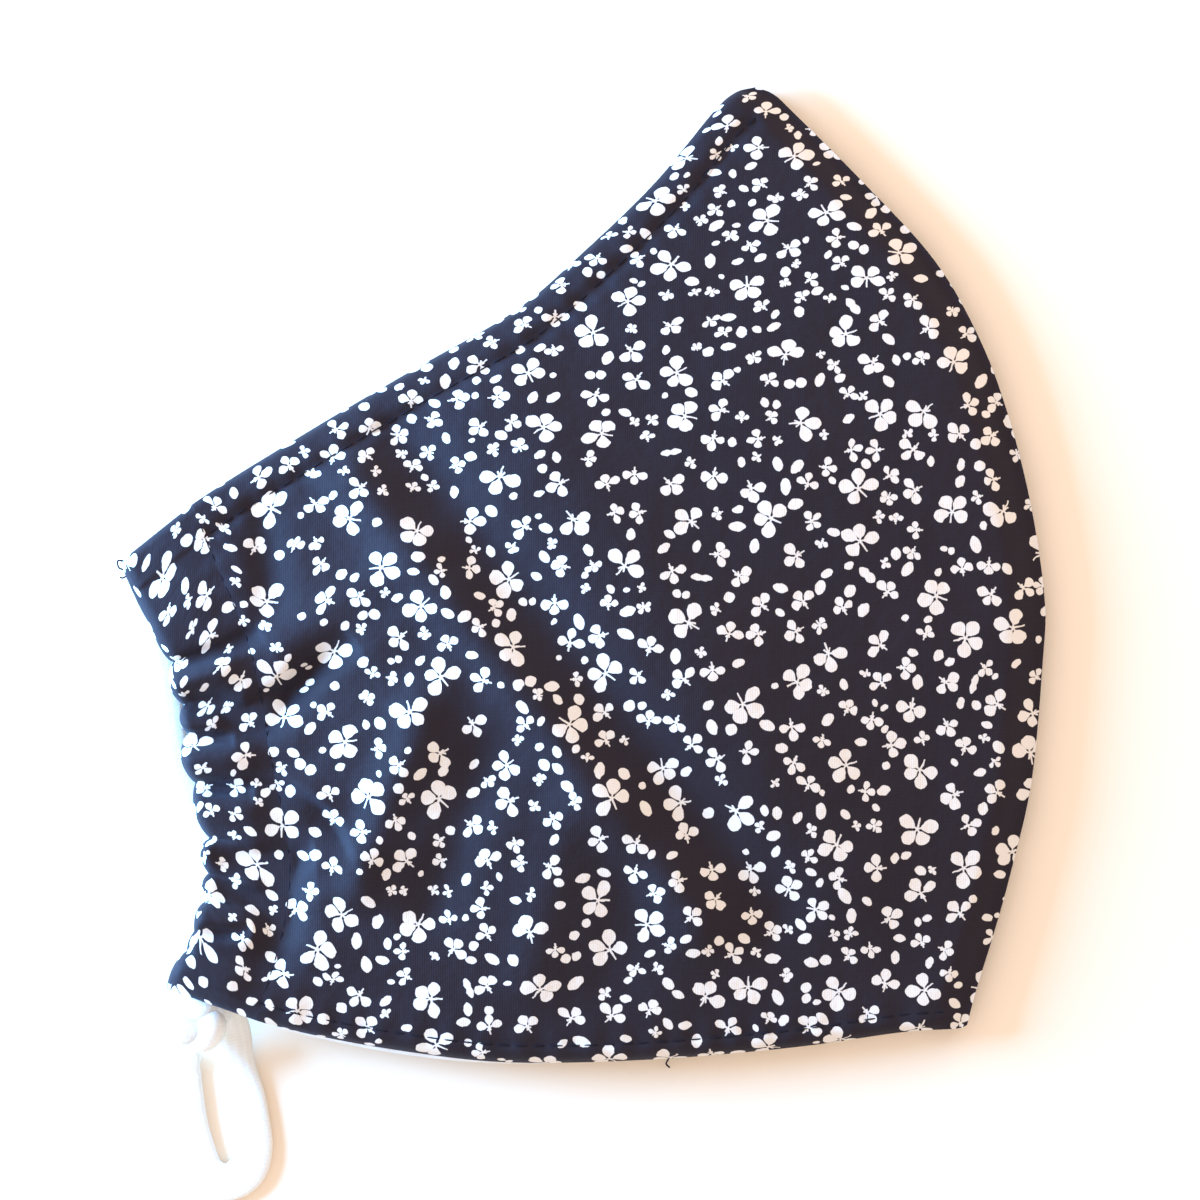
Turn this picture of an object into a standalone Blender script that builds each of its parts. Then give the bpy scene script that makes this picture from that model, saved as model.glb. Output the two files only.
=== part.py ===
"""Cloth face mask, folded in half along its centre seam and lying flat.

Metres, +Z up. X runs from the gathered ear side to the centre seam, Y from the chin to the nose.
The origin is under the middle of the folded mask, on the surface that it lies on.
The right half, as worn, faces up. The left half lies on the surface under it.
"""

import math
from collections import namedtuple

import bmesh
import bpy
import numpy as np
from mathutils import Vector

# Outline of one folded half
HALF_WIDTH = 0.1386
HALF_HEIGHT = 0.1464

# Cloth
CLOTH_WALL = 0.0010
LINING_WALL = 0.0010
PIECE_GAP = 0.0003

# Casing for the elastic along each gathered side, wider along the hems at its two ends
CASING_WIDTH = 0.0125
CASING_END_RATIO = 1.12
CASING_END_POWER = 4
TUNNEL_HEIGHT = 0.0031
GATHER_HEIGHT = 0.0019
SCALLOP_DEPTH = 0.0014

# How the halves lie on each other
PUFF_HEIGHT = 0.0057
SEAM_ROLL = 0.0060
LINING_ROLL_OUT = 0.0005
LOWER_SIDE_SETBACK = 0.0075
LOWER_END_SETBACK = 0.0070
LOWER_EDGE_SETBACK = 0.0007
LOWER_BULGE = 0.0005

# Elastic and its knot
ELASTIC_DIAMETER = 0.0025
KNOT_LENGTH = 0.0092
KNOT_WIDTH = 0.0080
KNOT_HEIGHT = 0.0044

KNOT_LOBE_DEPTH = 0.07

# Sizes that follow from those above
END_RUN = CASING_END_RATIO * CASING_WIDTH
STACK = CLOTH_WALL + PIECE_GAP + LINING_WALL
CASING_HEIGHT = TUNNEL_HEIGHT + 2 * CLOTH_WALL
UPPER_BASE = CASING_HEIGHT + LOWER_BULGE + PIECE_GAP
SEAM_HEIGHT = 2 * CLOTH_WALL + PIECE_GAP
CLOSED_HEIGHT = 2 * STACK + PIECE_GAP

# Outline, from corner to corner: shares of HALF_WIDTH from the ear side and of HALF_HEIGHT from the chin
Place = namedtuple("Place", "across up")
TOP_EDGE = [
    Place(0.001, 0.512), Place(0.085, 0.575), Place(0.199, 0.643), Place(0.313, 0.707), Place(0.426, 0.769),
    Place(0.502, 0.831), Place(0.578, 0.901), Place(0.640, 0.972), Place(0.664, 0.993), Place(0.686, 0.999),
]
SEAM_EDGE = [
    Place(0.916, 0.038), Place(0.926, 0.074), Place(0.946, 0.135), Place(0.964, 0.197), Place(0.986, 0.289),
    Place(0.998, 0.412), Place(1.000, 0.473), Place(0.986, 0.566), Place(0.962, 0.658), Place(0.930, 0.740),
    Place(0.881, 0.821), Place(0.805, 0.900), Place(0.729, 0.972), Place(0.706, 0.992), Place(0.686, 0.999),
]
BOTTOM_EDGE = [
    Place(0.053, 0.076), Place(0.123, 0.052), Place(0.199, 0.031), Place(0.313, 0.011), Place(0.426, 0.000),
    Place(0.578, 0.003), Place(0.729, 0.015), Place(0.843, 0.030), Place(0.904, 0.034), Place(0.916, 0.038),
]
SIDE_EDGE = [
    Place(0.053, 0.076), Place(0.082, 0.140), Place(0.094, 0.197), Place(0.088, 0.248), Place(0.073, 0.309),
    Place(0.062, 0.371), Place(0.048, 0.416), Place(0.021, 0.470), Place(0.001, 0.512),
]

# Gathers of the side, from the chin end: where the ridge starts along the side, its half width in the same
# share, its height as a share of GATHER_HEIGHT, how far it runs across the panel, and its climb there
Gather = namedtuple("Gather", "at width height reach climb")
GATHERS = [
    Gather(0.060, 0.040, 0.80, 0.12, -0.030),
    Gather(0.165, 0.040, 0.90, 0.16, -0.020),
    Gather(0.248, 0.028, 0.70, 0.12, 0.000),
    Gather(0.322, 0.036, 1.00, 0.34, 0.020),
    Gather(0.425, 0.046, 0.85, 0.22, 0.060),
    Gather(0.528, 0.040, 0.90, 0.18, 0.070),
    Gather(0.616, 0.036, 0.90, 0.30, 0.080),
    Gather(0.700, 0.040, 1.00, 0.42, 0.100),
    Gather(0.840, 0.070, 0.35, 0.20, 0.040),
]

# The stitch line holds the gathers down to this share, as far into the panel as the reach
STITCH_PINCH = 0.45
PINCH_REACH = 0.05

# Long folds of the upper half, each along a straight line: its two ends as in the outline tables, its half
# width as a share of HALF_WIDTH and its height as a share of PUFF_HEIGHT, below 0 for a valley
Fold = namedtuple("Fold", "across up to_across to_up width height")
FOLDS = [
    Fold(0.253, 0.596, 0.626, 0.145, 0.032, 0.16),
    Fold(0.302, 0.637, 0.702, 0.156, 0.034, -0.17),
    Fold(0.388, 0.699, 0.774, 0.193, 0.058, 0.16),
    Fold(0.302, 0.350, 0.226, 0.135, 0.028, 0.16),
    Fold(0.388, 0.330, 0.297, 0.105, 0.032, -0.14),
    Fold(0.475, 0.268, 0.410, 0.049, 0.032, 0.13),
    Fold(0.561, 0.217, 0.518, 0.053, 0.036, -0.10),
    Fold(0.152, 0.555, 0.145, 0.432, 0.022, -0.10),
]

# Section of the casing: full height as far in as the crown, then down to the stitch line, in shares of its
# width, and its round outer edge
CASING_CROWN = 0.44
CASING_SHOULDER = 0.74

# Angles of the points of that edge, in degrees, and how many sides of the section the hood keeps
NOSE_ANGLES = (90, 135, 180, 225, 270)
HOOD_SIDES = 5

# Shape of the dome between the halves: powers of its rise across and up the panel, and how near an edge the
# folds die out
DOME_RISE_ACROSS = 0.8
DOME_RISE_UP = 0.7
FOLD_MARGIN = 0.1

# Past this share of the upper sleeve, at the nose end, only its upper side runs on, as a hood over its mouth
HOOD_FROM = 0.83

# How fast the hem of a set-back half comes back to the outline
HEM_RETURN_POWER = 3

# Where the lining rolls out past the chin hem: its middle, half length and depth in shares of the panel
ROLL_OUT_AT = 0.20
ROLL_OUT_RUN = 0.16
ROLL_OUT_FADE = 0.03
ROLL_OUT_FALL = 0.4

# How finely the cloth is divided: columns from the casing to the seam, rows from the chin to the nose
UPPER_COLUMNS = 24
LOWER_COLUMNS = 10
ROWS_BETWEEN_TURNS = 2
CASING_CROWDING = 1.35
SEAM_CROWDING = 6
SHORTEST_ROW_TRIES = 9
SPLINE_STEPS = 20
LOOP_POINTS = 64
LOOP_BEVEL_RESOLUTION = 2
KNOT_SEGMENTS = 14
KNOT_RINGS = 8
NORMAL_STEP = 1e-4
SHARP_ANGLE = math.radians(40)

# Routes of the elastic, chosen by hand, in metres from the origin: each leaves its knot, runs through its
# casing and comes back to the knot
RIGHT_ROUTE = [
    (-0.0576, -0.0619, 0.0018), (-0.0558, -0.0562, 0.0014), (-0.0543, -0.0505, 0.0013),
    (-0.0540, -0.0444, 0.0013), (-0.0556, -0.0396, 0.0013), (-0.0581, -0.0348, 0.0013),
    (-0.0602, -0.0287, 0.0013), (-0.0611, -0.0219, 0.0013), (-0.0618, -0.0164, 0.0013),
    (-0.0634, -0.0118, 0.0013), (-0.0649, -0.0082, 0.0013), (-0.0657, -0.0054, 0.0013),
    (-0.0659, -0.0034, 0.0018), (-0.0658, -0.0020, 0.0031), (-0.0654, -0.0014, 0.0049),
    (-0.0646, -0.0017, 0.0067), (-0.0634, -0.0027, 0.0080), (-0.0620, -0.0044, 0.00845),
    (-0.0598, -0.0094, 0.00845), (-0.0576, -0.0155, 0.00845),
    (-0.0563, -0.0225, 0.00845), (-0.0550, -0.0295, 0.00845), (-0.0535, -0.0364, 0.00845),
    (-0.0525, -0.0434, 0.00845), (-0.0525, -0.0505, 0.00845), (-0.0538, -0.0575, 0.0084),
    (-0.0551, -0.0645, 0.0083), (-0.0548, -0.0674, 0.0070), (-0.0540, -0.0704, 0.0041),
    (-0.0530, -0.0734, 0.0018), (-0.0514, -0.0779, 0.0013), (-0.0502, -0.0819, 0.0013),
    (-0.0495, -0.0860, 0.0013), (-0.0506, -0.0897, 0.0013), (-0.0534, -0.0914, 0.0013),
    (-0.0564, -0.0900, 0.0013), (-0.0581, -0.0862, 0.0013), (-0.0594, -0.0801, 0.0013),
    (-0.0604, -0.0745, 0.0014), (-0.0599, -0.0705, 0.0019),
]
LEFT_ROUTE = [
    (-0.0311, -0.0487, 0.0043), (-0.0345, -0.0525, 0.0040), (-0.0370, -0.0575, 0.0040),
    (-0.0386, -0.0620, 0.0040), (-0.0416, -0.0646, 0.0038), (-0.0452, -0.0642, 0.0033),
    (-0.0473, -0.0616, 0.0028), (-0.0473, -0.0580, 0.0026), (-0.0457, -0.0525, 0.0026),
    (-0.0447, -0.0468, 0.0026), (-0.0448, -0.0408, 0.0026), (-0.0457, -0.0347, 0.0026),
    (-0.0470, -0.0287, 0.0026), (-0.0481, -0.0225, 0.0026), (-0.0492, -0.0163, 0.0026),
    (-0.0509, -0.0101, 0.0026), (-0.0532, -0.0042, 0.0026), (-0.0559, 0.0016, 0.0026),
    (-0.0568, 0.0046, 0.0028), (-0.0553, 0.0078, 0.0033), (-0.0520, 0.0089, 0.0038),
    (-0.0488, 0.0072, 0.0040), (-0.0455, 0.0025, 0.0040), (-0.0400, -0.0050, 0.0040),
    (-0.0325, -0.0110, 0.0040), (-0.0250, -0.0147, 0.0041), (-0.0175, -0.0180, 0.0041),
    (-0.0108, -0.0222, 0.0042), (-0.0058, -0.0282, 0.0042), (-0.0046, -0.0352, 0.0042),
    (-0.0075, -0.0415, 0.0042), (-0.0120, -0.0452, 0.0043), (-0.0165, -0.0466, 0.0044),
    (-0.0206, -0.0465, 0.0046),
]
RIGHT_KNOT = (-0.0584, -0.0662, 0.0023)
LEFT_KNOT = (-0.0260, -0.0462, 0.0048)

BLUE_COTTON = ("navy_print_cotton", (0.030, 0.036, 0.075, 1.0), 0.85)
WHITE_COTTON = ("white_cotton", (0.80, 0.79, 0.76, 1.0), 0.85)
WHITE_ELASTIC = ("white_elastic", (0.86, 0.85, 0.82, 1.0), 0.70)


class Edge:
    """A smooth curve through the rows of an outline table, read by its share of length."""

    def __init__(self, places):
        self.line, self.run = smooth_line([place_in_metres(place) for place in places])
        self.length = self.run[-1]

    def at(self, share):
        wanted = np.asarray(share) * self.length
        return np.stack([np.interp(wanted, self.run, self.line[:, axis]) for axis in (0, 1)], axis=-1)


def place_in_metres(place):
    return ((place.across - 0.5) * HALF_WIDTH, (place.up - 0.5) * HALF_HEIGHT)


def smooth_line(places):
    """Points of a smooth curve through the places, and the length run as far as each."""
    knots = np.array(places)
    knots = np.vstack([2 * knots[0] - knots[1], knots, 2 * knots[-1] - knots[-2]])
    line = np.vstack([spline_span(knots[i : i + 4]) for i in range(len(knots) - 3)] + [knots[-2:-1]])
    return line, np.concatenate([[0.0], np.cumsum(np.linalg.norm(np.diff(line, axis=0), axis=1))])


def spline_span(knots):
    """Points of the span between the middle two of four knots, without its last one."""
    t = np.linspace(0, 1, SPLINE_STEPS, endpoint=False)[:, None]
    a, b, c, d = knots
    slope, bend, twist = c - a, 2 * a - 5 * b + 4 * c - d, 3 * b - a - 3 * c + d
    return 0.5 * (2 * b + slope * t + bend * t**2 + twist * t**3)


def eased(x):
    x = np.clip(x, 0, 1)
    return x * x * (3 - 2 * x)


TOP, SEAM, BOTTOM, SIDE = Edge(TOP_EDGE), Edge(SEAM_EDGE), Edge(BOTTOM_EDGE), Edge(SIDE_EDGE)


class Half:
    """Plan of one half: the gathered side, the casing inside it and the panel from there to the seam."""

    def __init__(self, side_setback, end_setback, edge_setback):
        self.side_setback = side_setback
        self.ends = end_setback / SIDE.length
        self.shrink = 1 - 2 * edge_setback / HALF_WIDTH

    def side(self, t):
        """The outer edge of the casing, from the chin end to the nose end."""
        inner = self.ends + (1 - 2 * self.ends) * np.asarray(t)
        return (SIDE.at(inner) + self.side_setback * self.inward(inner)) * self.shrink

    def inward(self, t):
        """The direction across the casing, which follows the hems at its two ends."""
        t = np.asarray(t)[..., None]
        low = BOTTOM.at(END_RUN / BOTTOM.length) - BOTTOM.at(0)
        high = TOP.at(END_RUN / TOP.length) - TOP.at(0)
        middle = np.array([CASING_WIDTH, 0])
        mixed = low * (1 - t) ** 2 + 2 * middle * t * (1 - t) + high * t**2
        return mixed / np.linalg.norm(mixed, axis=-1, keepdims=True)

    def casing(self, inward, t):
        """A point of the casing: inward is 0 at its outer edge and 1 at the stitch line."""
        reach = CASING_WIDTH * (1 + (CASING_END_RATIO - 1) * (2 * t - 1) ** CASING_END_POWER)
        return self.side(t) + (inward * reach)[..., None] * self.inward(t)

    def hem(self, edge, corner, u):
        """A hem from the stitch line to the seam. It leaves the outline where the casing is set back."""
        start = END_RUN / edge.length
        along = edge.at(start + (1 - start) * u) * self.shrink
        return along + (corner - edge.at(start) * self.shrink) * ((1 - u) ** HEM_RETURN_POWER)[..., None]

    def panel(self, u, v):
        """A point of the panel: u runs from the stitch line to the seam, v from the chin to the nose."""
        one = np.ones(1)
        low_corner, high_corner = self.casing(one, 0 * one)[0], self.casing(one, one)[0]
        stitch = self.casing(np.ones_like(v), v)
        seam = SEAM.at(v) * self.shrink
        low, high = self.hem(BOTTOM, low_corner, u), self.hem(TOP, high_corner, u)
        ruled = (1 - u)[..., None] * stitch + u[..., None] * seam
        lofted = (1 - v)[..., None] * low + v[..., None] * high
        near = (1 - v)[..., None] * low_corner + v[..., None] * high_corner
        far = self.shrink * ((1 - v)[..., None] * SEAM.at(0) + v[..., None] * SEAM.at(1))
        return ruled + lofted - (1 - u)[..., None] * near - u[..., None] * far

    def shortest_row(self):
        v = np.linspace(0, 1, SHORTEST_ROW_TRIES)
        return np.linalg.norm(self.panel(np.ones_like(v), v) - self.panel(0 * v, v), axis=-1).min()


UPPER = Half(0, 0, 0)
LOWER = Half(LOWER_SIDE_SETBACK, LOWER_END_SETBACK, LOWER_EDGE_SETBACK)


def gather_share(u, v):
    """Height of the gathers, 0 to about 1: full in the casing, pinched at the stitch line, then fading."""
    total = np.zeros_like(u + v)
    for gather in GATHERS:
        across = np.clip(u, 0, None)
        ridge = np.exp(-(((v - gather.at - gather.climb * across / gather.reach) / gather.width) ** 2))
        fade = np.exp(-((across / gather.reach) ** 2))
        total = total + gather.height * ridge * fade
    return total * (STITCH_PINCH + (1 - STITCH_PINCH) * eased(np.abs(u) / PINCH_REACH))


def fold_share(plan):
    """Height of the long folds at points of the plan, as a share of PUFF_HEIGHT."""
    total = np.zeros(plan.shape[:-1])
    for fold in FOLDS:
        start = np.array(place_in_metres(Place(fold.across, fold.up)))
        span = np.array(place_in_metres(Place(fold.to_across, fold.to_up))) - start
        share = np.clip((plan - start) @ span / (span @ span), 0, 1)
        away = np.linalg.norm(plan - start - share[..., None] * span, axis=-1)
        total = total + fold.height * np.exp(-((away / (fold.width * HALF_WIDTH)) ** 2))
    return total


def upper_face(u, v):
    """The outer face of the upper panel."""
    plan = UPPER.panel(u, v)
    row = np.linalg.norm(UPPER.panel(np.ones_like(v), v) - UPPER.panel(0 * v, v), axis=-1)
    from_seam = (1 - u) * row
    roll = np.sin(0.5 * math.pi * np.clip(from_seam / SEAM_ROLL, 0, 1))
    at_casing = UPPER_BASE - STACK - PIECE_GAP
    across = np.sin(math.pi * np.clip(u, 0, 1) ** DOME_RISE_ACROSS)
    dome = across * np.sin(math.pi * np.clip(v, 0, 1)) ** DOME_RISE_UP
    inside = eased(u / FOLD_MARGIN) * eased((1 - u) / FOLD_MARGIN)
    inside = inside * eased(v / FOLD_MARGIN) * eased((1 - v) / FOLD_MARGIN)
    pocket = at_casing * (1 - eased(u)) + PUFF_HEIGHT * (dome + inside * fold_share(plan))
    height = SEAM_HEIGHT + roll * (CLOSED_HEIGHT - SEAM_HEIGHT + pocket)
    height = height + GATHER_HEIGHT * gather_share(u, v)
    return np.concatenate([plan, height[..., None]], axis=-1)


def upper_lining_face(u, v):
    """The upper face, with the lining rolled out past the chin hem near the casing."""
    face = upper_face(u, v)
    along, up = (u - ROLL_OUT_AT) / ROLL_OUT_RUN, v / ROLL_OUT_FADE
    rolled = LINING_ROLL_OUT * np.exp(-(along**2) - up**2)
    face[..., 1] -= rolled
    face[..., 2] -= rolled * ROLL_OUT_FALL
    return face


def lower_face(u, v):
    """The outer face of the lower panel, which lies flat."""
    plan = LOWER.panel(u, v)
    return np.concatenate([plan, np.zeros(plan.shape[:-1] + (1,))], axis=-1)


def side_stations(rows_between):
    """Shares along the gathered side: each ridge, each valley between two, and rows between those."""
    turns = [0.0]
    for gather, following in zip(GATHERS, GATHERS[1:] + [None]):
        turns.append(gather.at)
        turns.append((gather.at + following.at) / 2 if following else 1.0)
    stations = []
    for low, high in zip(turns, turns[1:]):
        stations.extend(low + (high - low) * step / rows_between for step in range(rows_between))
    return np.array(stations + [1.0])


def columns(half, count):
    """Shares from the casing to the seam, closest together at both, and those of the shorter lining."""
    shortest = half.shortest_row()
    even = np.linspace(0, 1, count)
    crowded = even**CASING_CROWDING * (1 - even**SEAM_CROWDING) + even**SEAM_CROWDING
    start = PIECE_GAP / shortest
    last = 1 - (SEAM_ROLL + PIECE_GAP) / shortest
    outer = np.unique(np.append(start + (1 - start) * crowded, last))
    return outer, outer[outer <= last]


def mesh_object(name, points, faces, finish):
    mesh = bpy.data.meshes.new(name)
    mesh.from_pydata([tuple(point) for point in points], [], [tuple(map(int, face)) for face in faces])
    build = bmesh.new()
    build.from_mesh(mesh)
    bmesh.ops.recalc_face_normals(build, faces=build.faces)
    build.to_mesh(mesh)
    build.free()
    mesh.shade_smooth()
    mesh.set_sharp_from_angle(angle=SHARP_ANGLE)
    mesh.materials.append(material(*finish))
    return placed(name, mesh)


def placed(name, data):
    obj = bpy.data.objects.new(name, data)
    obj.parent = bpy.data.objects["folded_mask"]
    bpy.context.scene.collection.objects.link(obj)
    return obj


def material(name, colour, roughness):
    if name in bpy.data.materials:
        return bpy.data.materials[name]
    made = bpy.data.materials.new(name)
    made.use_nodes = True
    shader = made.node_tree.nodes["Principled BSDF"]
    shader.inputs["Base Color"].default_value = colour
    shader.inputs["Roughness"].default_value = roughness
    shader.inputs["Metallic"].default_value = 0.0
    made.diffuse_color = colour
    return made


def wall_faces(skin, shift):
    """Faces of a wall between a skin of faces and its copy, whose points come the given number later."""
    sides = {side for face in skin for side in zip(face, face[1:] + face[:1])}
    rim = [(a, b) for a, b in sides if (b, a) not in sides]
    back = [tuple(point + shift for point in face[::-1]) for face in skin]
    return skin + back + [(b, a, a + shift, b + shift) for a, b in sorted(rim)]


def sheet(name, face, outward, depth, wall, u, v, finish):
    """A cloth wall under a face: depth is how far below the outer face its own outer side lies."""
    grid_u, grid_v = np.meshgrid(u, v)
    along = face(grid_u + NORMAL_STEP, grid_v) - face(grid_u - NORMAL_STEP, grid_v)
    up = face(grid_u, grid_v + NORMAL_STEP) - face(grid_u, grid_v - NORMAL_STEP)
    normal = np.cross(along, up)
    normal = outward * normal / np.linalg.norm(normal, axis=-1, keepdims=True)
    skin = face(grid_u, grid_v)
    near = (skin - depth * normal).reshape(-1, 3)
    far = (skin - (depth + wall) * normal).reshape(-1, 3)
    rows, cols = grid_u.shape
    skin = []
    for corner in (r * cols + c for r in range(rows - 1) for c in range(cols - 1)):
        skin.append((corner, corner + 1, corner + cols + 1))
        skin.append((corner, corner + cols + 1, corner + cols))
    return mesh_object(name, np.vstack([near, far]), wall_faces(skin, rows * cols), finish)


def casing_sections():
    """Outer and inner loops of the casing's section, with as many points each: (inward, height)."""
    radius = CASING_HEIGHT / 2
    nose = [math.radians(angle) for angle in NOSE_ANGLES]

    def height_at(inward):
        fall = float(eased((inward - CASING_CROWN) / (1 - CASING_CROWN)))
        return CASING_HEIGHT + (STACK - CASING_HEIGHT) * fall

    def loop(wall, tip, foot):
        top = [(share, height_at(share) - wall) for share in (CASING_SHOULDER, CASING_CROWN)]
        reach = radius - wall
        round_end = [
            ((radius + reach * math.cos(angle)) / CASING_WIDTH, radius + reach * math.sin(angle))
            for angle in nose
        ]
        return [tip] + top + round_end + [(CASING_CROWN, wall), foot]

    shut = (1 + CASING_SHOULDER) / 2
    outer = loop(0, (1.0, STACK), (1.0, 0.0))
    inner = loop(CLOTH_WALL, (shut, height_at(shut) - CLOTH_WALL), (shut, CLOTH_WALL))
    return outer, inner


def casing(name, half, base, stations, bulge, hood_from, finish):
    """The gathered sleeve, open at both ends, and the hood over one of them."""
    rings = []
    for loop in casing_sections():
        for t in stations:
            ridge = float(gather_share(np.array(PINCH_REACH), np.array(t)))
            for inward, height in loop:
                place = half.casing(np.array(inward), np.array(t))
                out = SCALLOP_DEPTH * ridge * (1 - inward) ** 2
                place = place - out * half.inward(np.array(t))
                loose = STITCH_PINCH if inward > CASING_SHOULDER else 1
                lift = bulge * ridge * loose * max(0, height - CLOTH_WALL) / (CASING_HEIGHT - CLOTH_WALL)
                rings.append((place[0], place[1], base + height + lift))
    size = len(loop)
    quads = []
    for station, t in enumerate(stations[:-1]):
        for k in range(size if t < hood_from else HOOD_SIDES):
            a, b = station * size + k, station * size + (k + 1) % size
            quads.append((a, b, b + size, a + size))
    return mesh_object(name, rings, wall_faces(quads, size * len(stations)), finish)


def elastic(name, route):
    """A tube of one diameter along a smooth curve through the route's points."""
    line, run = smooth_line(route)
    wanted = np.linspace(0, run[-1], LOOP_POINTS)
    points = np.stack([np.interp(wanted, run, line[:, axis]) for axis in range(3)], axis=-1)
    curve = bpy.data.curves.new(name, "CURVE")
    curve.dimensions = "3D"
    curve.bevel_depth = ELASTIC_DIAMETER / 2
    curve.bevel_resolution = LOOP_BEVEL_RESOLUTION
    curve.use_fill_caps = True
    spline = curve.splines.new("POLY")
    spline.points.add(len(points) - 1)
    for point, place in zip(spline.points, points):
        point.co = (*place, 1.0)
    curve.materials.append(material(*WHITE_ELASTIC))
    return placed(name, curve)


def knot(name, centre):
    """An overhand knot as one lumpy solid: three lobes round a short thick barrel."""
    build = bmesh.new()
    bmesh.ops.create_uvsphere(build, u_segments=KNOT_SEGMENTS, v_segments=KNOT_RINGS, radius=0.5)
    for vert in build.verts:
        around = math.atan2(vert.co.y, vert.co.x)
        lobes = 1 + KNOT_LOBE_DEPTH * math.cos(3 * around)
        vert.co.x *= lobes * KNOT_LENGTH
        vert.co.y *= lobes * KNOT_WIDTH
        vert.co.z *= KNOT_HEIGHT
        vert.co += Vector(centre)
    mesh = bpy.data.meshes.new(name)
    build.to_mesh(mesh)
    build.free()
    mesh.shade_smooth()
    mesh.materials.append(material(*WHITE_ELASTIC))
    return placed(name, mesh)


def clear_scene():
    for obj in list(bpy.data.objects):
        bpy.data.objects.remove(obj)


def build_upper_half():
    rows = side_stations(ROWS_BETWEEN_TURNS)
    outer, inner = columns(UPPER, UPPER_COLUMNS)
    sheet("outer_panel_right", upper_face, 1, 0, CLOTH_WALL, outer, rows, BLUE_COTTON)
    under = CLOTH_WALL + PIECE_GAP
    sheet("lining_right", upper_lining_face, 1, under, LINING_WALL, inner, rows, WHITE_COTTON)
    casing("side_casing_right", UPPER, UPPER_BASE, rows, GATHER_HEIGHT, HOOD_FROM, BLUE_COTTON)


def build_lower_half():
    rows = side_stations(1)
    outer, inner = columns(LOWER, LOWER_COLUMNS)
    sheet("outer_panel_left", lower_face, -1, 0, CLOTH_WALL, outer, rows, BLUE_COTTON)
    sheet("lining_left", lower_face, -1, CLOTH_WALL + PIECE_GAP, LINING_WALL, inner, rows, WHITE_COTTON)
    casing("side_casing_left", LOWER, 0.0, rows, LOWER_BULGE, 1.0, BLUE_COTTON)


def main():
    clear_scene()
    root = bpy.data.objects.new("folded_mask", None)
    bpy.context.scene.collection.objects.link(root)
    build_lower_half()
    build_upper_half()
    elastic("ear_loop_right", RIGHT_ROUTE)
    knot("loop_knot_right", RIGHT_KNOT)
    elastic("ear_loop_left", LEFT_ROUTE)
    knot("loop_knot_left", LEFT_KNOT)


main()
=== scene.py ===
"""Looks of a cloth face mask, folded in half along its centre seam and lying on a pale surface.

Metres, +Z up. X runs from the gathered ear side to the centre seam, Y from the chin to the nose.
The plan of the cloth and the routes of the elastic are those of the solids.
"""

import math
from collections import namedtuple

import bmesh
import bpy
import numpy as np
from mathutils import Matrix, Vector


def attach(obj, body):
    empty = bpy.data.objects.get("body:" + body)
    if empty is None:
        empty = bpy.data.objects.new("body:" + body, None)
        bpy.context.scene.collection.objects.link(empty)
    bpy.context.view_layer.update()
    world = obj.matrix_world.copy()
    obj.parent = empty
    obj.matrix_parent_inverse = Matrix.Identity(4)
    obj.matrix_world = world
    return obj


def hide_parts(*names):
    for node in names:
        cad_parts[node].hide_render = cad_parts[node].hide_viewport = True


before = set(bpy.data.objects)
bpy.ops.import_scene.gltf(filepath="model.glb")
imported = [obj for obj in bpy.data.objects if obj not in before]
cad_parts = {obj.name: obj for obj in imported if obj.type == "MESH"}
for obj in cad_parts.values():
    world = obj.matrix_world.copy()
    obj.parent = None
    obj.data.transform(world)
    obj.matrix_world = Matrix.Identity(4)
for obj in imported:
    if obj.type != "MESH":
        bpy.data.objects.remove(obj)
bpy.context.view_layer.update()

# sizes and tables of the solids
HALF_WIDTH = 0.1386
HALF_HEIGHT = 0.1464
CASING_WIDTH = 0.0125
CASING_END_RATIO = 1.12
CASING_END_POWER = 4
CASING_HEIGHT = 0.0051
CASING_CROWN = 0.44
STACK = 0.0023
UPPER_BASE = 0.0059
SEAM_HEIGHT = 0.0023
CLOSED_HEIGHT = 0.0049
PUFF_HEIGHT = 0.0057
SEAM_ROLL = 0.0060
DOME_RISE_ACROSS = 0.8
DOME_RISE_UP = 0.7
FOLD_MARGIN = 0.1
HOOD_FROM = 0.84
LINING_ROLL_OUT = 0.0005
ROLL_OUT_AT = 0.20
ROLL_OUT_RUN = 0.16
ROLL_OUT_FADE = 0.03
ROLL_OUT_FALL = 0.4
LOWER_SIDE_SETBACK = 0.0075
LOWER_END_SETBACK = 0.0070
LOWER_EDGE_SETBACK = 0.0007
LOWER_BULGE = 0.0005
HEM_RETURN_POWER = 3
STITCH_PINCH = 0.45
PINCH_REACH = 0.05
SPLINE_STEPS = 20
PANEL_CLEARANCE = 0.0003
FULL_TURN = 2 * math.pi

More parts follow.
